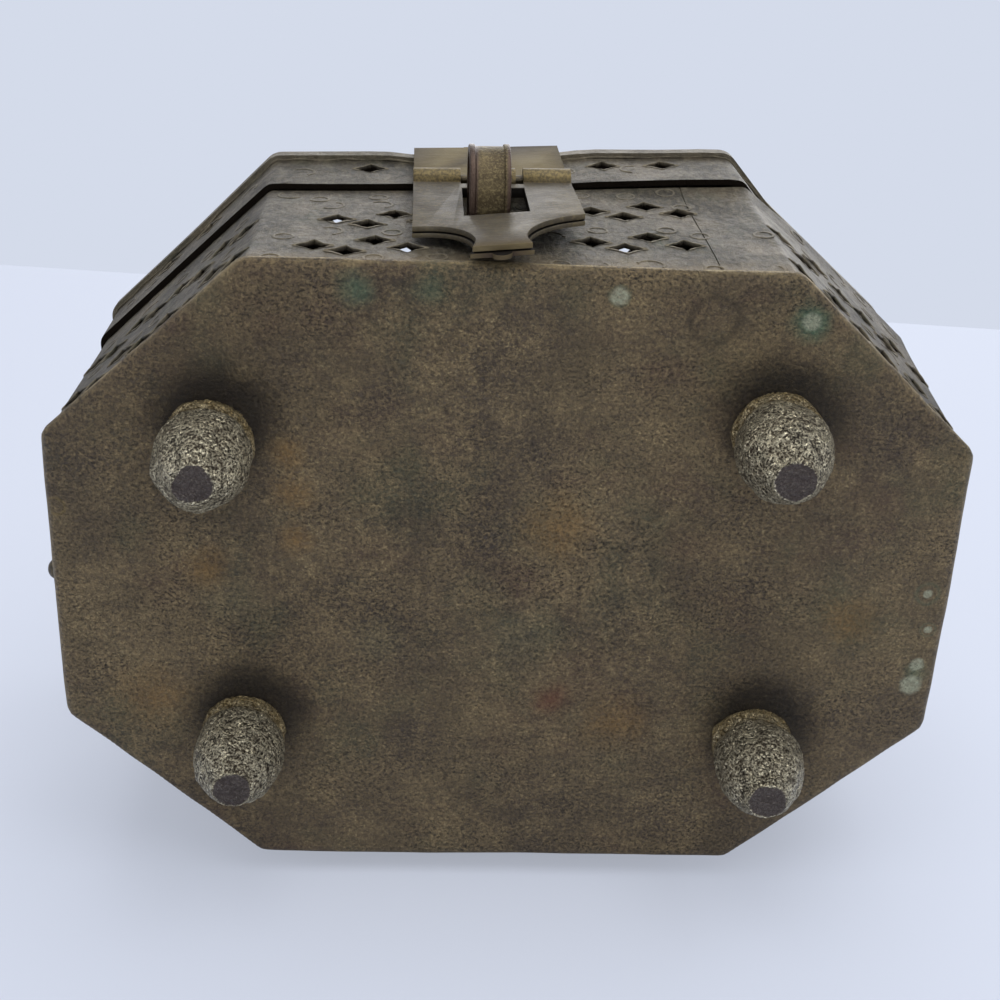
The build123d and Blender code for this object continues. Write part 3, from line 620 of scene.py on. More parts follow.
def cast_brass():
    """Sand-cast brass, left as it came from the mould: gritty, dark in the hollows, with pale highlights and
    glints painted on the crests, a painted golden highlight round the collar, and dull brown-grey on the end
    that it stands on."""
    look = settings("cast")
    material, tree, shader, place = new_material("cast_brass")
    _, rubbed = wear_and_shade_masks(tree)
    patch = cloud(tree, place, 3.2, 0.4, 0.6, detail=4, squeeze=(1, 1, 1.4))
    grit = cloud(tree, place, 0.36, 0.43, 0.58, detail=3, rough=0.7)
    wrinkles = cloud(tree, place, 1.3, 0.36, 0.64, detail=3, squeeze=(1, 1, 1.8))
    high = span(tree, node(tree, "ShaderNodeNewGeometry").outputs["Pointiness"], 0.46, 0.56)
    skin = node(tree, "ShaderNodeMath", {
        0: overlap(tree, grit, 0.7), 1: overlap(tree, wrinkles, 0.3),
    }, operation="ADD", use_clamp=True).outputs[0]
    base = coat(tree, look.hollow, look.skin, span(tree, skin, 0.1, 0.75))
    base = coat(tree, base, linear("#57493a"), patch, 0.4)
    # Pale highlights and glints painted on the ridges and the grit
    glint_ridges = node(tree, "ShaderNodeMath", {0: high, 1: wrinkles}, operation="ADD", use_clamp=True).outputs[0]
    painted_glints = overlap(tree, grit, span(tree, glint_ridges, 0.5, 1.0, 0.1, 1.0))
    base = coat(tree, base, look.crest_glint, painted_glints)
    height = node(tree, "ShaderNodeSeparateXYZ", {"Vector": place}).outputs["Z"]
    # Painted golden highlight round the collar just under the bottom
    collar = span(tree, height, tray_low.z - 3.6 * MM, tray_low.z - 1.4 * MM)
    collar = overlap(tree, collar, span(tree, grit, 0.0, 1.0, 0.2, 0.8))
    base = coat(tree, base, linear("#b59b62"), collar)
    end = cloud(tree, place, 0.6, 0.42, 0.66, detail=4, rough=0.7)
    worn = coat(tree, look.worn, linear("#5f5754"), end)
    base = coat(tree, base, worn, rubbed, 0.95)
    rough = span(tree, painted_glints, 0.0, 1.0, 0.44, 0.22)
    normal = relief(tree, ((wrinkles, 0.8, 0.4), (grit, 1.0, 0.2), (end, 0.4, 0.12)))
    wire(tree, shader, base=base, metal=0.8, rough=rough, normal=normal)
    return material


def plate_brass():
    """Smooth sheet brass of the hasp: a grey-brown skin with fine wear lines and bright rubbed edges,
    golden and grainy on the two outer knuckles, dark on the leaf and the tongue."""
    look = settings("hasp")
    material, tree, shader, place = new_material("plate_brass")
    grime_and_shade, _ = wear_and_shade_masks(tree)
    broad = cloud(tree, place, 7, 0.34, 0.66, detail=7, rough=0.6)
    base = coat(tree, look.shade, look.plate, broad)
    fine = cloud(tree, place, 0.7, 0.5, 0.7, detail=4)
    base = coat(tree, base, look.bright, fine, 0.3)
    height = node(tree, "ShaderNodeSeparateXYZ", {"Vector": place}).outputs["Z"]
    above_plate = span(tree, height, pin_low.z - 1.6 * MM, pin_low.z - 1.0 * MM)
    under_leaf = span(tree, height, pin_high.z + 1.4 * MM, pin_high.z + 0.9 * MM)
    grain = cloud(tree, place, 0.45, 0.4, 0.62, detail=3)
    gold = coat(tree, linear("#4a3f2a"), look.knuckle, grain)
    base = coat(tree, base, gold, above_plate, under_leaf, 0.85)
    tongue = span(tree, height, hasp_low.z + 8.0 * MM, hasp_low.z + 2.4 * MM)
    base = coat(tree, base, linear("#36291f"), tongue, 0.85)
    leaf = span(tree, height, pin_high.z + 1.2 * MM, pin_high.z + 1.7 * MM)
    base = coat(tree, base, linear("#352d29"), leaf, 0.8)
    dull = node(tree, "ShaderNodeMath", {0: leaf, 1: tongue}, operation="MAXIMUM").outputs[0]
    edges = node(tree, "ShaderNodeNewGeometry").outputs["Pointiness"]
    base = coat(tree, base, look.bright, span(tree, edges, 0.52, 0.6), 0.5)
    lines = cloud(tree, place, 1.2, 0.4, 0.66, detail=5, rough=0.7, squeeze=(0.3, 1, 2.2))
    base = coat(tree, base, linear("#221d18"), lines, 0.22)
    base = coat(tree, base, linear("#15110d"), grime_and_shade)
    normal = relief(tree, ((broad, 0.3, 0.25), (lines, 0.35, 0.07), (grain, 0.15, 0.06)))
    rough = node(tree, "ShaderNodeMath", {
        0: span(tree, broad, 0.0, 1.0, 0.5, 0.38), 1: overlap(tree, dull, 0.2),
    }, operation="ADD", use_clamp=True).outputs[0]
    wire(tree, shader, base=base, metal=span(tree, dull, 0.0, 1.0, 0.35, 0.08), rough=rough, normal=normal,
         sheen_level=span(tree, dull, 0.0, 1.0, 0.23, 0.1))
    return material


def strap_brass():
    """Strap brass: grainy and golden brown in the middle, smooth and red-brown along its beads."""
    look = settings("hasp")
    material, tree, shader, place = new_material("strap_brass")
    broad = cloud(tree, place, 4, 0.34, 0.66, detail=6)
    base = coat(tree, linear("#3f3424"), look.strap, broad)
    grain = cloud(tree, place, 0.42, 0.45, 0.66, detail=4)
    base = coat(tree, base, look.bright, grain, 0.45)
    across = node(tree, "ShaderNodeSeparateXYZ", {"Vector": place}).outputs["X"]
    middle = (staple_low.x + staple_high.x) / 2
    half = (staple_high.x - staple_low.x) / 2
    off = node(tree, "ShaderNodeMath", {0: across, 1: middle}, operation="SUBTRACT").outputs[0]
    off = node(tree, "ShaderNodeMath", {0: off}, operation="ABSOLUTE").outputs[0]
    bead = span(tree, off, half - 1.2 * MM, half - 0.8 * MM)
    base = coat(tree, base, look.bead, bead)
    normal = relief(tree, ((grain, 0.5, 0.08), (broad, 0.3, 0.2)))
    wire(tree, shader, base=base, metal=0.65, rough=span(tree, bead, 0.0, 1.0, 0.44, 0.32), normal=normal)
    return material


def fitting_brass():
    """Drawn and hammered brass of hinges, pins, rivets and the stud, brown with rubbed heads."""
    look = settings("hasp")
    material, tree, shader, place = new_material("fitting_brass")
    broad = cloud(tree, place, 3, 0.36, 0.66, detail=6)
    base = coat(tree, look.shade, look.strap, broad)
    fine = cloud(tree, place, 0.5, 0.5, 0.7, detail=4)
    base = coat(tree, base, look.bright, fine, 0.3)
    normal = relief(tree, ((broad, 0.4, 0.15), (fine, 0.3, 0.05)))
    wire(tree, shader, base=base, metal=0.65, rough=span(tree, broad, 0.0, 1.0, 0.5, 0.38), normal=normal)
    return material


MAKERS = {
    "pan_brass": bottom_brass,
    "wall_brass": wall_brass,
    "foot_brass": cast_brass,
    "hasp_brass": plate_brass,
    "staple_brass": strap_brass,
    "fitting_brass": fitting_brass,
}
made_materials = {}


def finish_of(slot):
    """The material of a slot, made once."""
    if slot not in made_materials:
        made_materials[slot] = MAKERS[slot]()
    return made_materials[slot]


def corners(grow):
    """Corners of the eight-sided plan with every side moved outward by grow."""
    cut_x = half_length - front_edge / 2
    cut_y = half_width - side_edge / 2
    cut = math.hypot(cut_x, cut_y)
    reach = (cut_y * front_edge / 2 + cut_x * half_width) / cut + grow
    out_x = half_length + grow
    out_y = half_width + grow
    near_x = (reach * cut - cut_x * out_y) / cut_y
    near_y = (reach * cut - cut_y * out_x) / cut_x
    right = [(near_x, -out_y), (out_x, -near_y), (out_x, near_y), (near_x, out_y)]
    return right + [(-x, -y) for x, y in right]


def sides(grow, level):
    """The eight sides, front first: a matrix with x along the wall, y up and z outward, and the length."""
    ring = corners(grow)
    ring = ring[-1:] + ring
    found = []
    for (ax, ay), (bx, by) in zip(ring, ring[1:]):
        along = Vector((bx - ax, by - ay, 0))
        outward = along.cross(Vector((0, 0, 1))).normalized()
        middle = Vector(((ax + bx) / 2, (ay + by) / 2, level))
        turn = Matrix((along.normalized(), (0, 0, 1), outward)).transposed().to_4x4()
        found.append((Matrix.Translation(middle) @ turn, along.length))
    return found


class TRINKET_OT_stage(bpy.types.Operator):
    """Sets the table, the floor, the soft light and the camera"""
    bl_idname = "trinket.stage"
    bl_label = "Table, Light and Camera"

    camera_place = Vector((-13.38, -126.33, -205.23)) * MM
    camera_aim = Vector((-1.94, -16.87, 17.0)) * MM
    wide = 1.6
    near = -0.6
    crease = 0.3474
    crease_slope = -0.11
    own_light = 0.47

    def surface(self, name, shade, only_through_floor):
        """A pale matt surface with soft shadows, seen from its front alone, or only through the floor."""
        material = bpy.data.materials.new(name)
        material.use_nodes = True
        tree = material.node_tree
        tree.nodes.clear()
        out = node(tree, "ShaderNodeOutputMaterial")
        path = node(tree, "ShaderNodeLightPath").outputs
        matt = node(tree, "ShaderNodeBsdfDiffuse", {"Color": rgba(shade)})
        glow = node(tree, "ShaderNodeEmission", {"Color": rgba(shade)})
        share = overlap(tree, path["Is Camera Ray"], self.own_light)
        paint = node(tree, "ShaderNodeMixShader", {0: share, 1: matt.outputs[0], 2: glow.outputs[0]})
        clear = node(tree, "ShaderNodeBsdfTransparent")
        hide = node(tree, "ShaderNodeNewGeometry").outputs["Backfacing"]
        if only_through_floor:
            depth = path["Transparent Depth"]
            first_hit = node(tree, "ShaderNodeMath", {0: depth, 1: 0.5}, operation="LESS_THAN").outputs[0]
            above = overlap(tree, first_hit, path["Is Camera Ray"])
            hide = node(tree, "ShaderNodeMath", {0: hide, 1: above}, operation="MAXIMUM").outputs[0]
        both = node(tree, "ShaderNodeMixShader", {0: hide, 1: paint.outputs[0], 2: clear.outputs[0]})
        tree.links.new(both.outputs[0], out.inputs["Surface"])
        return material

    def panel(self, name, corner_points, shade, through_floor=False, bounces=False):
        """A flat stage surface through four corners, its front on the side they turn anticlockwise."""
        mesh = bpy.data.meshes.new(name)
        mesh.from_pydata(corner_points, [], [(0, 1, 2, 3)])
        piece = bpy.data.objects.new(name, mesh)
        bpy.context.scene.collection.objects.link(piece)
        mesh.materials.append(self.surface(name, shade, through_floor))
        piece.visible_diffuse = bounces
        piece.visible_glossy = bounces
        piece.visible_transmission = False
        piece.visible_shadow = False

    def lamp(self, name, place, aim, size, power):
        """A soft square lamp that the camera doesn't see."""
        light = bpy.data.lights.new(name, "AREA")
        light.size = size
        light.energy = power
        piece = bpy.data.objects.new(name, light)
        bpy.context.scene.collection.objects.link(piece)
        piece.location = place
        piece.rotation_euler = (Vector(aim) - Vector(place)).to_track_quat("-Z", "Y").to_euler()
        piece.visible_camera = False

    def room(self, look):
        """Even light from the room, and the pale backdrop that the camera sees."""
        world = bpy.data.worlds.new("pale_room")
        world.use_nodes = True
        tree = world.node_tree
        tree.nodes.clear()
        out = node(tree, "ShaderNodeOutputWorld")
        seen = node(tree, "ShaderNodeLightPath").outputs["Is Camera Ray"]
        light = node(tree, "ShaderNodeBackground", {"Color": rgba(look.room), "Strength": 0.55})
        view = node(tree, "ShaderNodeBackground", {"Color": rgba(look.backdrop), "Strength": 1.0})
        both = node(tree, "ShaderNodeMixShader", {0: seen, 1: light.outputs[0], 2: view.outputs[0]})
        tree.links.new(both.outputs[0], out.inputs["Surface"])
        return world

    def execute(self, context):
        look = settings("stage")
        scene = context.scene
        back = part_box("hinge_body_leaf_left")[1].y + look.table_gap
        wide = self.wide
        far = [self.crease + self.crease_slope * x for x in (-wide, wide)]
        self.panel("table_near", [(-wide, back, self.near), (wide, back, self.near), (wide, back, 0),
                                  (-wide, back, 0)], look.table, bounces=True)
        self.panel("table_far", [(-wide, back, 0), (wide, back, 0), (wide, back, far[1]),
                                 (-wide, back, far[0])], look.table, through_floor=True,
                   bounces=True)
        square = [(-wide, -wide, 0), (wide, -wide, 0), (wide, wide, 0), (-wide, wide, 0)]
        self.panel("floor", square, look.table)
        self.lamp("window_lamp", (0.12, -0.75, -0.02), (0, 0, 0.03), 0.8, 4.2)
        self.lamp("front_lamp", (0.1, -0.1, -0.8), (0, 0, 0.03), 0.7, 1.6)
        self.lamp("top_lamp", (0.15, -0.15, 0.8), (0, 0, 0.03), 0.7, 3.0)
        scene.world = self.room(look)
        scene.view_settings.view_transform = "Standard"
        camera = bpy.data.cameras.new("camera")
        camera.lens = look.lens
        camera.sensor_width = 36.0
        camera.clip_start = 0.01
        piece = bpy.data.objects.new("camera", camera)
        scene.collection.objects.link(piece)
        ahead = (self.camera_aim - self.camera_place).normalized()
        up = Vector((0, -1, 0))
        up = (up - up.dot(ahead) * ahead).normalized()
        right = ahead.cross(up)
        tilted_up = math.cos(look.roll) * up - math.sin(look.roll) * right
        turn = Matrix((ahead.cross(tilted_up), tilted_up, -ahead)).transposed().to_4x4()
        piece.matrix_world = Matrix.Translation(self.camera_place) @ turn
        scene.camera = piece
        return {"FINISHED"}


class TRINKET_OT_bottom(bpy.types.Operator):
    """Makes the bottom tray: a hand-beaten sheet, pulled in round the feet, with a wavering rim"""
    bl_idname = "trinket.bottom"
    bl_label = "Bottom Tray"

    dish_middle = 10.0 * MM
    dish_width = 3.2 * MM

    def execute(self, context):
        look = settings("sheet")
        tray = node_copy("base_pan", "bottom_tray")
        edit(tray)
        bpy.ops.mesh.convex_hull()
        bpy.ops.object.mode_set(mode="OBJECT")
        apply_modifier(tray, "REMESH", mode="VOXEL", voxel_size=look.tray_grain)
        edit(tray)
        rim_top = Vector((0, 0, tray_high.z - 0.25 * MM))
        bpy.ops.mesh.bisect(plane_co=rim_top, plane_no=(0, 0, 1), clear_outer=True)
        bpy.ops.object.mode_set(mode="OBJECT")

        def beat(point, normal):
            rise = 0.12 * MM * wander(point, 14 * MM) + 0.06 * MM * wander(point, 5 * MM, 3.0)
            if normal.z < -0.5:
                for foot in foot_middles.values():
                    away = math.hypot(point.x - foot.x, point.y - foot.y)
                    rise -= look.dish_depth * math.exp(-((away - self.dish_middle) / self.dish_width) ** 2)
            moved = point + rise * normal
            height = max(0.0, (point.z - tray_low.z) / (tray_high.z - tray_low.z))
            moved.z += height * 0.4 * MM * wander(point, 16 * MM, 8.0)
            return warp(moved)

        shape(tray, beat)
        apply_modifier(tray, "SOLIDIFY", thickness=0.98 * sheet, offset=-1.0, use_even_offset=True)
        finish_piece(tray, "body", "pan_brass", ["base_pan"], angle=50)
        return {"FINISHED"}


class TRINKET_OT_feet(bpy.types.Operator):
    """Makes the four cast feet, each with its own lumps, wrinkles, grit and worn end"""
    bl_idname = "trinket.feet"
    bl_label = "Cast Feet"

    lump = 4.6 * MM
    wrinkle = 2.2 * MM
    grit = 0.95 * MM
    collar_height = 2.6 * MM
    collar_bulge = 0.7 * MM
    collar_lump = 3.4 * MM
    edge_height = 1.4 * MM
    end_height = 4 * MM
    skin = 0.3 * MM
    worn_radius = 3.1 * MM

    def execute(self, context):
        look = settings("cast")
        for number, name in enumerate(foot_names):
            foot = node_copy(name, "cast_" + name)
            apply_modifier(foot, "REMESH", mode="VOXEL", voxel_size=look.grain)
            seed = 11.0 * (number + 1)
            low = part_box(name)[0].z
            axis = foot_middles[name]
            tilt = Vector((wander(axis, MM, seed), wander(axis, MM, seed + 5), 0)) * 0.9
            worn = []

            def cast(point, normal):
                if point.z > tray_low.z - 0.05 * MM:
                    worn.append(0.0)
                    return warp(point)
                edge = min(1.0, (point.z - low) / self.edge_height)
                flat = Vector((point.x, point.y, 2.6 * point.z))
                rise = look.lump_depth * wander(point, self.lump, seed)
                rise += look.wrinkle_depth * wander(flat, self.wrinkle, seed)
                rise += look.grit_depth * wander(point, self.grit, seed)
                rise += look.grit_depth * 0.5 * wander(point, 0.5 * MM, seed)
                collar = max(0.0, 1 - (tray_low.z - point.z) / self.collar_height)
                around = Vector((point.x, point.y, 0))
                rise += collar * self.collar_bulge * wander(around, self.collar_lump, seed + 3)
                moved = point + (0.25 + 0.75 * edge) * (rise - self.skin) * normal
                end = max(0.0, 1 - (point.z - low) / self.end_height)
                moved += end * tilt * MM
                chipped = 0.35 * MM * max(0.0, wander(point, 2.4 * MM, seed + 9))
                if edge < 0.2:
                    moved.z = low + chipped + 0.12 * MM * abs(wander(point, 0.8 * MM, seed))
                moved.z = max(moved.z, low + 0.01 * MM)
                away = math.hypot(moved.x - axis.x - end * tilt.x * MM, moved.y - axis.y - end * tilt.y * MM)
                ragged = self.worn_radius + 0.5 * MM * wander(point, 2.6 * MM, seed + 13)
                worn.append(1.0 if edge < 0.55 and away < ragged else 0.0)
                return warp(moved)

            shape(foot, cast)
            mark(foot, "POINT", worn)
            finish_piece(foot, "body", "foot_brass", [name], angle=80)
        return {"FINISHED"}


def bend_sheet(piece, spacing):
    """Cuts a sheet piece into short lengths."""
    edit(piece)
    low = Vector(piece.bound_box[0])
    high = Vector(piece.bound_box[6])
    for axis in range(3):
        count = int((high[axis] - low[axis]) / spacing)
        for i in range(1, count + 1):
            cut = Vector((0, 0, 0))
            cut[axis] = low[axis] + i * (high[axis] - low[axis]) / (count + 1)
            square = Vector((0, 0, 0))
            square[axis] = 1.0
            bpy.ops.mesh.select_all(action="SELECT")
            bpy.ops.mesh.bisect(plane_co=cut, plane_no=square)
    bpy.ops.object.mode_set(mode="OBJECT")


def upright_shade_and_grime(piece):
    """Painted shade with grime on a wall's faces that look sideways into a hole, up or down; faces that look
    inward are darkened less.
    """
    outward = [side.to_3x3().col[2] for side, _ in sides(0, 0)]
    values = []
    for face in piece.data.polygons:
        facing = max(face.normal.dot(o) for o in outward)
        values.append(0.0 if facing > 0.9 else (-0.35 if facing < -0.5 else -1.0))
    return values


def flat_wear_and_shade(piece):
    """Painted shade with grime inside the lid top's holes, and a darker, duller underside."""
    to_side = [side.inverted() for side, _ in sides(0, 0)]
    values = []
    for face in piece.data.polygons:
        beyond = max((m @ face.center).z for m in to_side)
        if beyond > -0.5 * MM:
            values.append(0.4)
        elif face.normal.z < -0.5:
            values.append(-0.35)
        else:
            values.append(-1.0 if abs(face.normal.z) < 0.3 else 0.0)
    return values


class TRINKET_OT_walls(bpy.types.Operator):
    """Makes the pierced walls and the lid as hand-bent sheets, with a burr along the lid's edge"""
    bl_idname = "trinket.walls"
    bl_label = "Walls and Lid"

    def burr(self, thickness):
        """The thin wavy burr where the lid's turned-down edge meets the lid wall."""
        points = []
        for side, run in sides(0.3 * MM, lid_top_low.z):
            steps = int(run / (1.1 * MM))
            for i in range(steps):
                point = side @ Vector(((i + 0.5) * run / steps - run / 2, 0, 0))
                out = side.to_3x3().col[2] * wander(point, 4 * MM, 4.0) * 0.3 * MM
                points.append(point + out + Vector((0, 0, 0.25 * MM * wander(point, 3 * MM, 6.0))))
        mesh = bpy.data.meshes.new("lid_burr")
        mesh.from_pydata(points, [(i, (i + 1) % len(points)) for i in range(len(points))], [])
        piece = bpy.data.objects.new("lid_burr", mesh)
        bpy.context.scene.collection.objects.link(piece)
        pick(piece)
        bpy.ops.object.convert(target="CURVE")
        piece = bpy.context.object
        piece.data.bevel_depth = thickness
        piece.data.bevel_resolution = 1
        bpy.ops.object.convert(target="MESH")
        piece = bpy.context.object
        mark(piece, "POINT", [0.55 + 0.8 * wander(v.co, 5 * MM, 2.0) for v in piece.data.vertices])
        shape(piece, lambda point, normal: warp(point))
        finish_piece(piece, "lid", "wall_brass", angle=60)

    def execute(self, context):
        look = settings("sheet")
        for name, made, body, wear in (
                ("body_wall", "pierced_wall", "body", upright_shade_and_grime),
                ("lid_wall", "pierced_lid_wall", "lid", upright_shade_and_grime),
                ("lid_top", "pierced_lid_top", "lid", flat_wear_and_shade)):
            piece = node_copy(name, made)
            bend_sheet(piece, look.wall_slice)
            mark(piece, "FACE", wear(piece))
            shape(piece, lambda point, normal: warp(point))
            finish_piece(piece, body, "wall_brass", [name], angle=30)
        self.burr(look.burr)
        return {"FINISHED"}


def worn_copy(name, made, body, slot, bevel, move=None, wear=None):
    """A piece made of a CAD node with its edges worn round, marked with wear, then moved and warped."""
    piece = node_copy(name, made)
    edit(piece)
    bpy.ops.mesh.dissolve_limited(angle_limit=math.radians(1))
    bpy.ops.object.mode_set(mode="OBJECT")
    apply_modifier(piece, "BEVEL", width=bevel, segments=2, limit_method="ANGLE",
                   angle_limit=math.radians(40), use_clamp_overlap=True)
    if wear:
        mark(piece, "FACE", wear(piece))
    shape(piece, lambda point, normal: warp(move(point) if move else point))
    return finish_piece(piece, body, slot, [name])


class TRINKET_OT_hasp(bpy.types.Operator):
    """Makes the hasp, its leaf and the staple, with worn edges"""
    bl_idname = "trinket.hasp"
    bl_label = "Hasp and Staple"

    def hang(self, point):
        """Below its knuckles the hasp is twisted away from the wall at the right."""
        down = max(0.0, pin_low.z - 2.2 * MM - point.z)
        ease = min(1.0, down / (20 * MM))
        across = math.tan(settings("hasp").askew) * ease * (point.x - hasp_middle)
        return point + Vector((0, -across if across > 0 else -0.7 * across, 0.35 * across))

    def seam(self, piece):
        """Grime in the seam between the two layers of the folded sheet."""
        seam_y = hasp_high.y - 0.93 * MM
        top = pin_low.z - 1.5 * MM
        middles = [face.center for face in piece.data.polygons]
        return [-1.0 if abs(middle.y - seam_y) < 0.12 * MM and middle.z < top else 0.0 for middle in middles]

    def execute(self, context):
        bevel = settings("hasp").bevel
        worn_copy("hasp", "swinging_hasp", "hasp", "hasp_brass", 0.6 * bevel, self.hang, self.seam)
        worn_copy("hasp_leaf", "hasp_strap", "lid", "hasp_brass", bevel)
        worn_copy("staple", "strap_staple", "body", "staple_brass", bevel)
        worn_copy("staple_plate", "clench_plate", "body", "staple_brass", bevel)
        return {"FINISHED"}


class TRINKET_OT_fittings(bpy.types.Operator):
    """Makes the back hinges, pins, rivets, stud and washers, with worn edges"""
    bl_idname = "trinket.fittings"
    bl_label = "Hinges and Rivets"

    def execute(self, context):
        bevel = 0.6 * settings("hasp").bevel
        slots = {row["node"]: row["material_slot"] for row in frame["record"]["subparts"]}
        for body, nodes in frame["record"]["behaviour"]["bodies"].items():
            for name in nodes:
                if slots[name] == "fitting_brass":
                    worn_copy(name, "worn_" + name, body, "fitting_brass", bevel)
        return {"FINISHED"}


# Piercing, laid out as on the part
lozenge_tip = 2.7 * MM
lozenge_crown = 2.2 * MM
beside_hasp = 16.3 * MM
cluster_spots = ((-7.4, 0.1), (-2.2, -2.8), (2.2, 3.4), (7.5, -0.5))
front_rings = ((-33.1, 58.0), (-23.0, 59.3), (-37.6, 33.8), (13.5, 40.4), (24.9, 41.1), (40.7, 39.3))


def lozenge_rim(share):
    """A point of a lozenge's outline with hollowed sides, for a share of the way round."""
    waist = (0.5 * lozenge_tip, 0.36 * lozenge_crown)
    quarter = [(lozenge_tip, 0.0), waist, (0.0, lozenge_crown), (-waist[0], waist[1])]
    ring = quarter + [(-x, -y) for x, y in quarter]
    place = share * len(ring)
    i = int(place) % len(ring)
    t = place - int(place)
    a = ring[i]
    b = ring[(i + 1) % len(ring)]
    return Vector((a[0] + t * (b[0] - a[0]), a[1] + t * (b[1] - a[1]), 0.0))


def wall_holes(number, run):
    """Lozenge places on one body wall: two rows of two clusters of four, set crookedly on the front."""
    spread = run / MM * (0.256 if number == 4 else 0.244)
    height = (wall_high.z - wall_low.z) / MM
    clusters = [(s * spread, share * height) for s in (-1, 1) for share in (0.22, 0.575)]
    if number == 0:
        clusters = ((-25.1, 10.3), (-22.2, 25.9), (19.2, 15.2), (21.0, 33.2))
    return [((cx + x) * MM, (cz + z) * MM) for cx, cz in clusters for x, z in cluster_spots]


def lid_holes(number, run):
    """Lozenge places on one side of the lid wall."""
    pitch = 10.7 * MM
    count = round(run / pitch) - 2
    shift = 1.85 * MM if number == 0 else 0
    row = [shift + (i - (count - 1) / 2) * pitch for i in range(count)]
    if number == 0:
        row = [x for x in row if abs(x - hasp_middle) > beside_hasp]
    if number == 4:
        row = [x for x in row if abs(abs(x) - 27 * MM) > 10.7 * MM]
    return [(x, 0.52 * (lid_wall_high.z - lid_wall_low.z)) for x in row]


def top_holes():
    """Lozenge places on the lid top: a zigzag row along every edge, with its matrix on the sheet."""
    pitch = 10.98 * MM
    places = []
    for number, (side, run) in enumerate(sides(-15 * MM, lid_top_high.z)):
        count = max(2, round(run / pitch) - 1)
        shift = -3.95 * MM if number == 0 else 0
        flat = side @ Matrix.Rotation(-math.pi / 2, 4, "X")
        for i in range(count):
            x = shift + (i - (count - 1) / 2) * pitch
            y = 2.95 * MM * (-1 if i % 2 == 0 else 1)
            if number or y > 0 or abs(x - hasp_middle) > beside_hasp:
                places.append(flat @ Matrix.Translation((x, y, 0)))
    return places


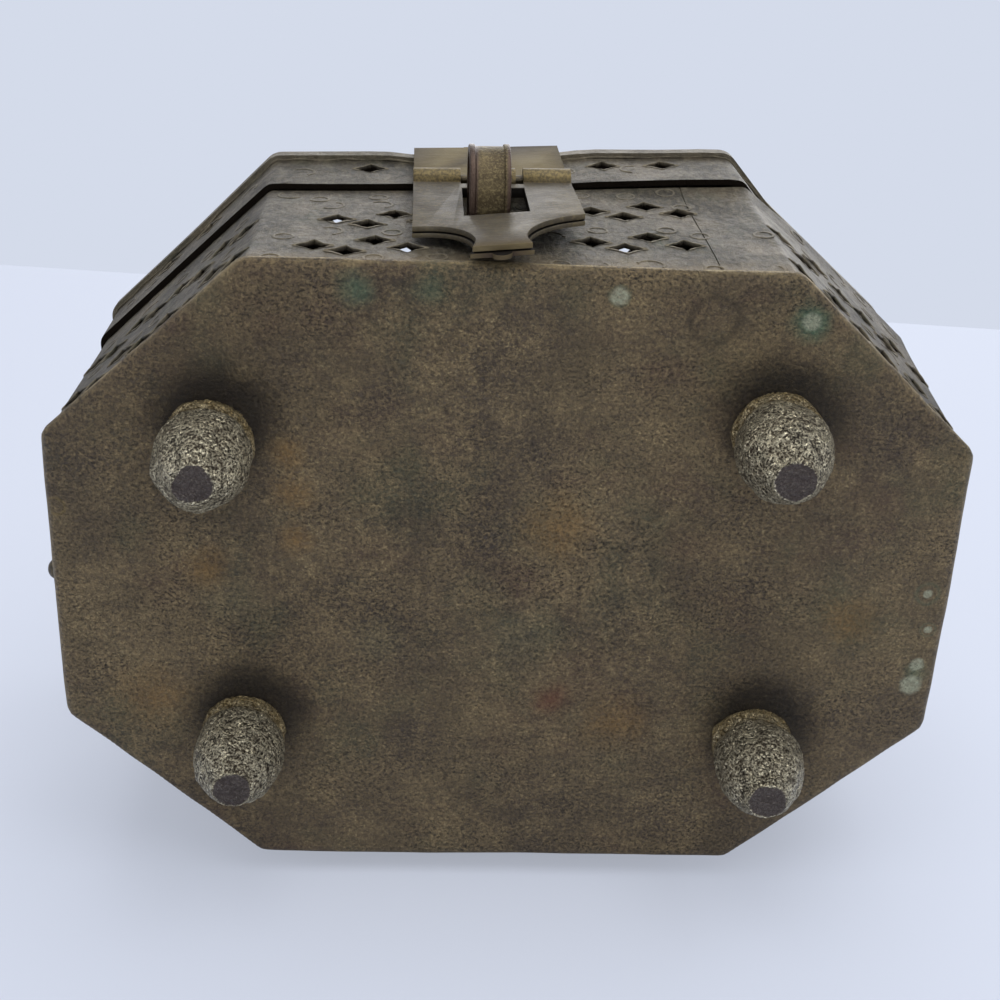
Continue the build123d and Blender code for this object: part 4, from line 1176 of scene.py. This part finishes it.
class TRINKET_OT_piercing(bpy.types.Operator):
    """Makes the lips torn up round the pierced lozenges and the marks punched between them"""
    bl_idname = "trinket.piercing"
    bl_label = "Piercing and Marks"

    steps = 40

    def lip(self, look):
        """One torn lip, flat on the wall: a circle extruded into rows that follow the lozenge's outline."""
        deselect()
        bpy.ops.mesh.primitive_circle_add(vertices=self.steps, radius=3 * MM, fill_type="NOTHING")
        ring = bpy.context.object
        spread = look.lip_spread
        rows = (
            (-0.06 * MM, -0.4 * MM), (-0.02 * MM, 0.5 * look.lip_rise), (0.12 * MM, look.lip_rise),
            (0.3 * MM, 0.85 * look.lip_rise), (0.6 * spread, 0.3 * look.lip_rise), (spread, -0.06 * MM),
        )
        bpy.ops.object.mode_set(mode="EDIT")
        for _ in rows[1:]:
            bpy.ops.mesh.extrude_region_move()
        bpy.ops.object.mode_set(mode="OBJECT")
        for row, (out, rise) in enumerate(rows):
            for i in range(self.steps):
                rim = lozenge_rim(i / self.steps)
                tip = (abs(rim.x) / lozenge_tip) ** 3
                point = rim + rim.normalized() * out * (1 + 1.6 * tip * (row > 2))
                upper = 1.0 if rim.y > 0 else 0.3
                point.z = rise * upper * (1 - 0.35 * tip) if rise > 0 else rise
                ring.data.vertices[row * self.steps + i].co = point
        # The inner row, down in the hole, gets painted shade with grime; the crests are rubbed pale and the
        # foot is a little darker
        wear = [v for v in (-1.0, -0.2, 1.0, 0.8, 0.0, -0.15) for _ in range(self.steps)]
        mark(ring, "POINT", wear)
        return ring

    def lips(self, name, body, places, look, tear_seed):
        """A lip at every hole, each torn in its own way."""
        made = join(copies(self.lip(look), places), name)
        edit(made)
        bpy.ops.mesh.normals_make_consistent(inside=False)
        bpy.ops.object.mode_set(mode="OBJECT")

        def tear(point, normal):
            ragged = 0.16 * MM * wander(point, 1.3 * MM, tear_seed)
            ragged += 0.12 * MM * wander(point, 4 * MM, tear_seed)
            return warp(point + ragged * normal)

        shape(made, tear)
        finish_piece(made, body, "wall_brass", angle=60)

    def stroke(self, look, kind):
        """One punched mark: a ring, or an open arc."""
        deselect()
        size = look.ring_size / 2
        bpy.ops.mesh.primitive_torus_add(major_radius=size if kind == "ring" else 1.35 * size,
                                         minor_radius=0.3 * MM, major_segments=26, minor_segments=6)
        made = bpy.context.object
        if kind == "arc":
            edit(made)
            bpy.ops.mesh.bisect(plane_co=(0.15 * size, 0, 0), plane_no=(1, 0.2, 0), clear_outer=True,
                                use_fill=True)
            bpy.ops.object.mode_set(mode="OBJECT")
        for vertex in made.data.vertices:
            vertex.co.z *= look.mark_depth / (0.3 * MM) if vertex.co.z > 0 else 1.0
        mark(made, "POINT", [0.5 if v.co.z > 0.03 * MM else -0.35 for v in made.data.vertices])
        return made

    def mark_places(self, draw, holes_of, grow, low, high, rows):
        """Places of punched marks on the sides, clear of the holes and of the rings seen on the front."""
        rings = []
        arcs = []
        for number, (side, run) in enumerate(sides(grow, low)):
            seen = [(x * MM, z * MM - low) for x, z in front_rings] if number == 0 and grow < 0 else []
            rings += [side @ Matrix.Translation((x, z, 0)) for x, z in seen]
            holes = holes_of(number, run)
            for share in rows:
                count = int(run / (8.2 * MM))
                for i in range(count):
                    x = (i + 0.5 + draw.uniform(-0.22, 0.22)) * run / count - run / 2
                    z = (share + draw.uniform(-0.025, 0.025)) * (high - low)
                    away = [math.hypot((x - hx) / 1.25, z - hz) for hx, hz in holes + seen]
                    turn = draw.uniform(0, math.tau)
                    round_one = draw.random() < 0.35
                    if min(away, default=1.0) < 3.9 * MM or abs(x) > run / 2 - 3.5 * MM:
                        continue
                    place = side @ Matrix.Translation((x, z, 0)) @ Matrix.Rotation(turn, 4, "Z")
                    (rings if round_one else arcs).append(place)
        return rings, arcs

    def execute(self, context):
        look = settings("mark")
        draw = random.Random(look.seed)
        body_places = [side @ Matrix.Translation((x, z, 0)) for number, (side, run) in
                       enumerate(sides(-sheet, wall_low.z)) for x, z in wall_holes(number, run)]
        self.lips("torn_lips", "body", body_places, look, 3.0)
        self.lips("torn_top_lips", "lid", top_holes(), look, 6.0)
        lid_grow = 0.1 * MM
        lid_places = [side @ Matrix.Translation((x, z, 0)) for number, (side, run) in
                      enumerate(sides(lid_grow, lid_wall_low.z)) for x, z in lid_holes(number, run)]
        self.lips("torn_lid_lips", "lid", lid_places, look, 9.0)
        body_rows = (0.1, 0.41, 0.78, 0.93)
        for name, body, holes_of, grow, low, high, rows in (
                ("punched_marks", "body", wall_holes, -sheet, wall_low.z, wall_high.z, body_rows),
                ("punched_lid_marks", "lid", lid_holes, lid_grow, lid_wall_low.z, lid_wall_high.z, (0.42,))):
            rings, arcs = self.mark_places(draw, holes_of, grow, low, high, rows)
            pieces = copies(self.stroke(look, "ring"), rings) + copies(self.stroke(look, "arc"), arcs)
            made = join(pieces, name)
            uneven = 0.07 * MM
            shape(made, lambda point, normal: warp(point + uneven * wander(point, 1.1 * MM, 5.0) * normal))
            finish_piece(made, body, "wall_brass", angle=70)
        return {"FINISHED"}


class TRINKET_PT_box(bpy.types.Panel):
    """Lists the steps that finish the trinket box"""
    bl_idname = "TRINKET_PT_box"
    bl_label = "Trinket Box"
    bl_space_type = "VIEW_3D"
    bl_region_type = "UI"
    bl_category = "Trinket Box"

    def draw(self, context):
        for step in STEPS:
            self.layout.operator(step.bl_idname, text=step.bl_label)
        for name in GROUPS:
            box = self.layout.box()
            group = settings(name)
            for field in group.bl_rna.properties:
                if field.identifier not in ("rna_type", "name"):
                    box.prop(group, field.identifier)


GROUPS = {"sheet": SheetLook, "cast": CastLook, "hasp": HaspLook, "mark": MarkLook, "stage": StageLook}
STEPS = (TRINKET_OT_stage, TRINKET_OT_bottom, TRINKET_OT_feet, TRINKET_OT_walls, TRINKET_OT_hasp,
         TRINKET_OT_fittings, TRINKET_OT_piercing)


def register():
    """Registers the settings, the steps and the panel."""
    for name, group in GROUPS.items():
        bpy.utils.register_class(group)
        setattr(bpy.types.Scene, "trinket_" + name, PointerProperty(type=group))
    for step in STEPS:
        bpy.utils.register_class(step)
    bpy.utils.register_class(TRINKET_PT_box)


def unregister():
    """Takes them out again."""
    bpy.utils.unregister_class(TRINKET_PT_box)
    for step in reversed(STEPS):
        bpy.utils.unregister_class(step)
    for name, group in GROUPS.items():
        delattr(bpy.types.Scene, "trinket_" + name)
        bpy.utils.unregister_class(group)


def main():
    """Runs every step."""
    register()
    bpy.ops.trinket.stage()
    bpy.ops.trinket.bottom()
    bpy.ops.trinket.feet()
    bpy.ops.trinket.walls()
    bpy.ops.trinket.hasp()
    bpy.ops.trinket.fittings()
    bpy.ops.trinket.piercing()
    deselect()


if __name__ == "__main__":
    main()
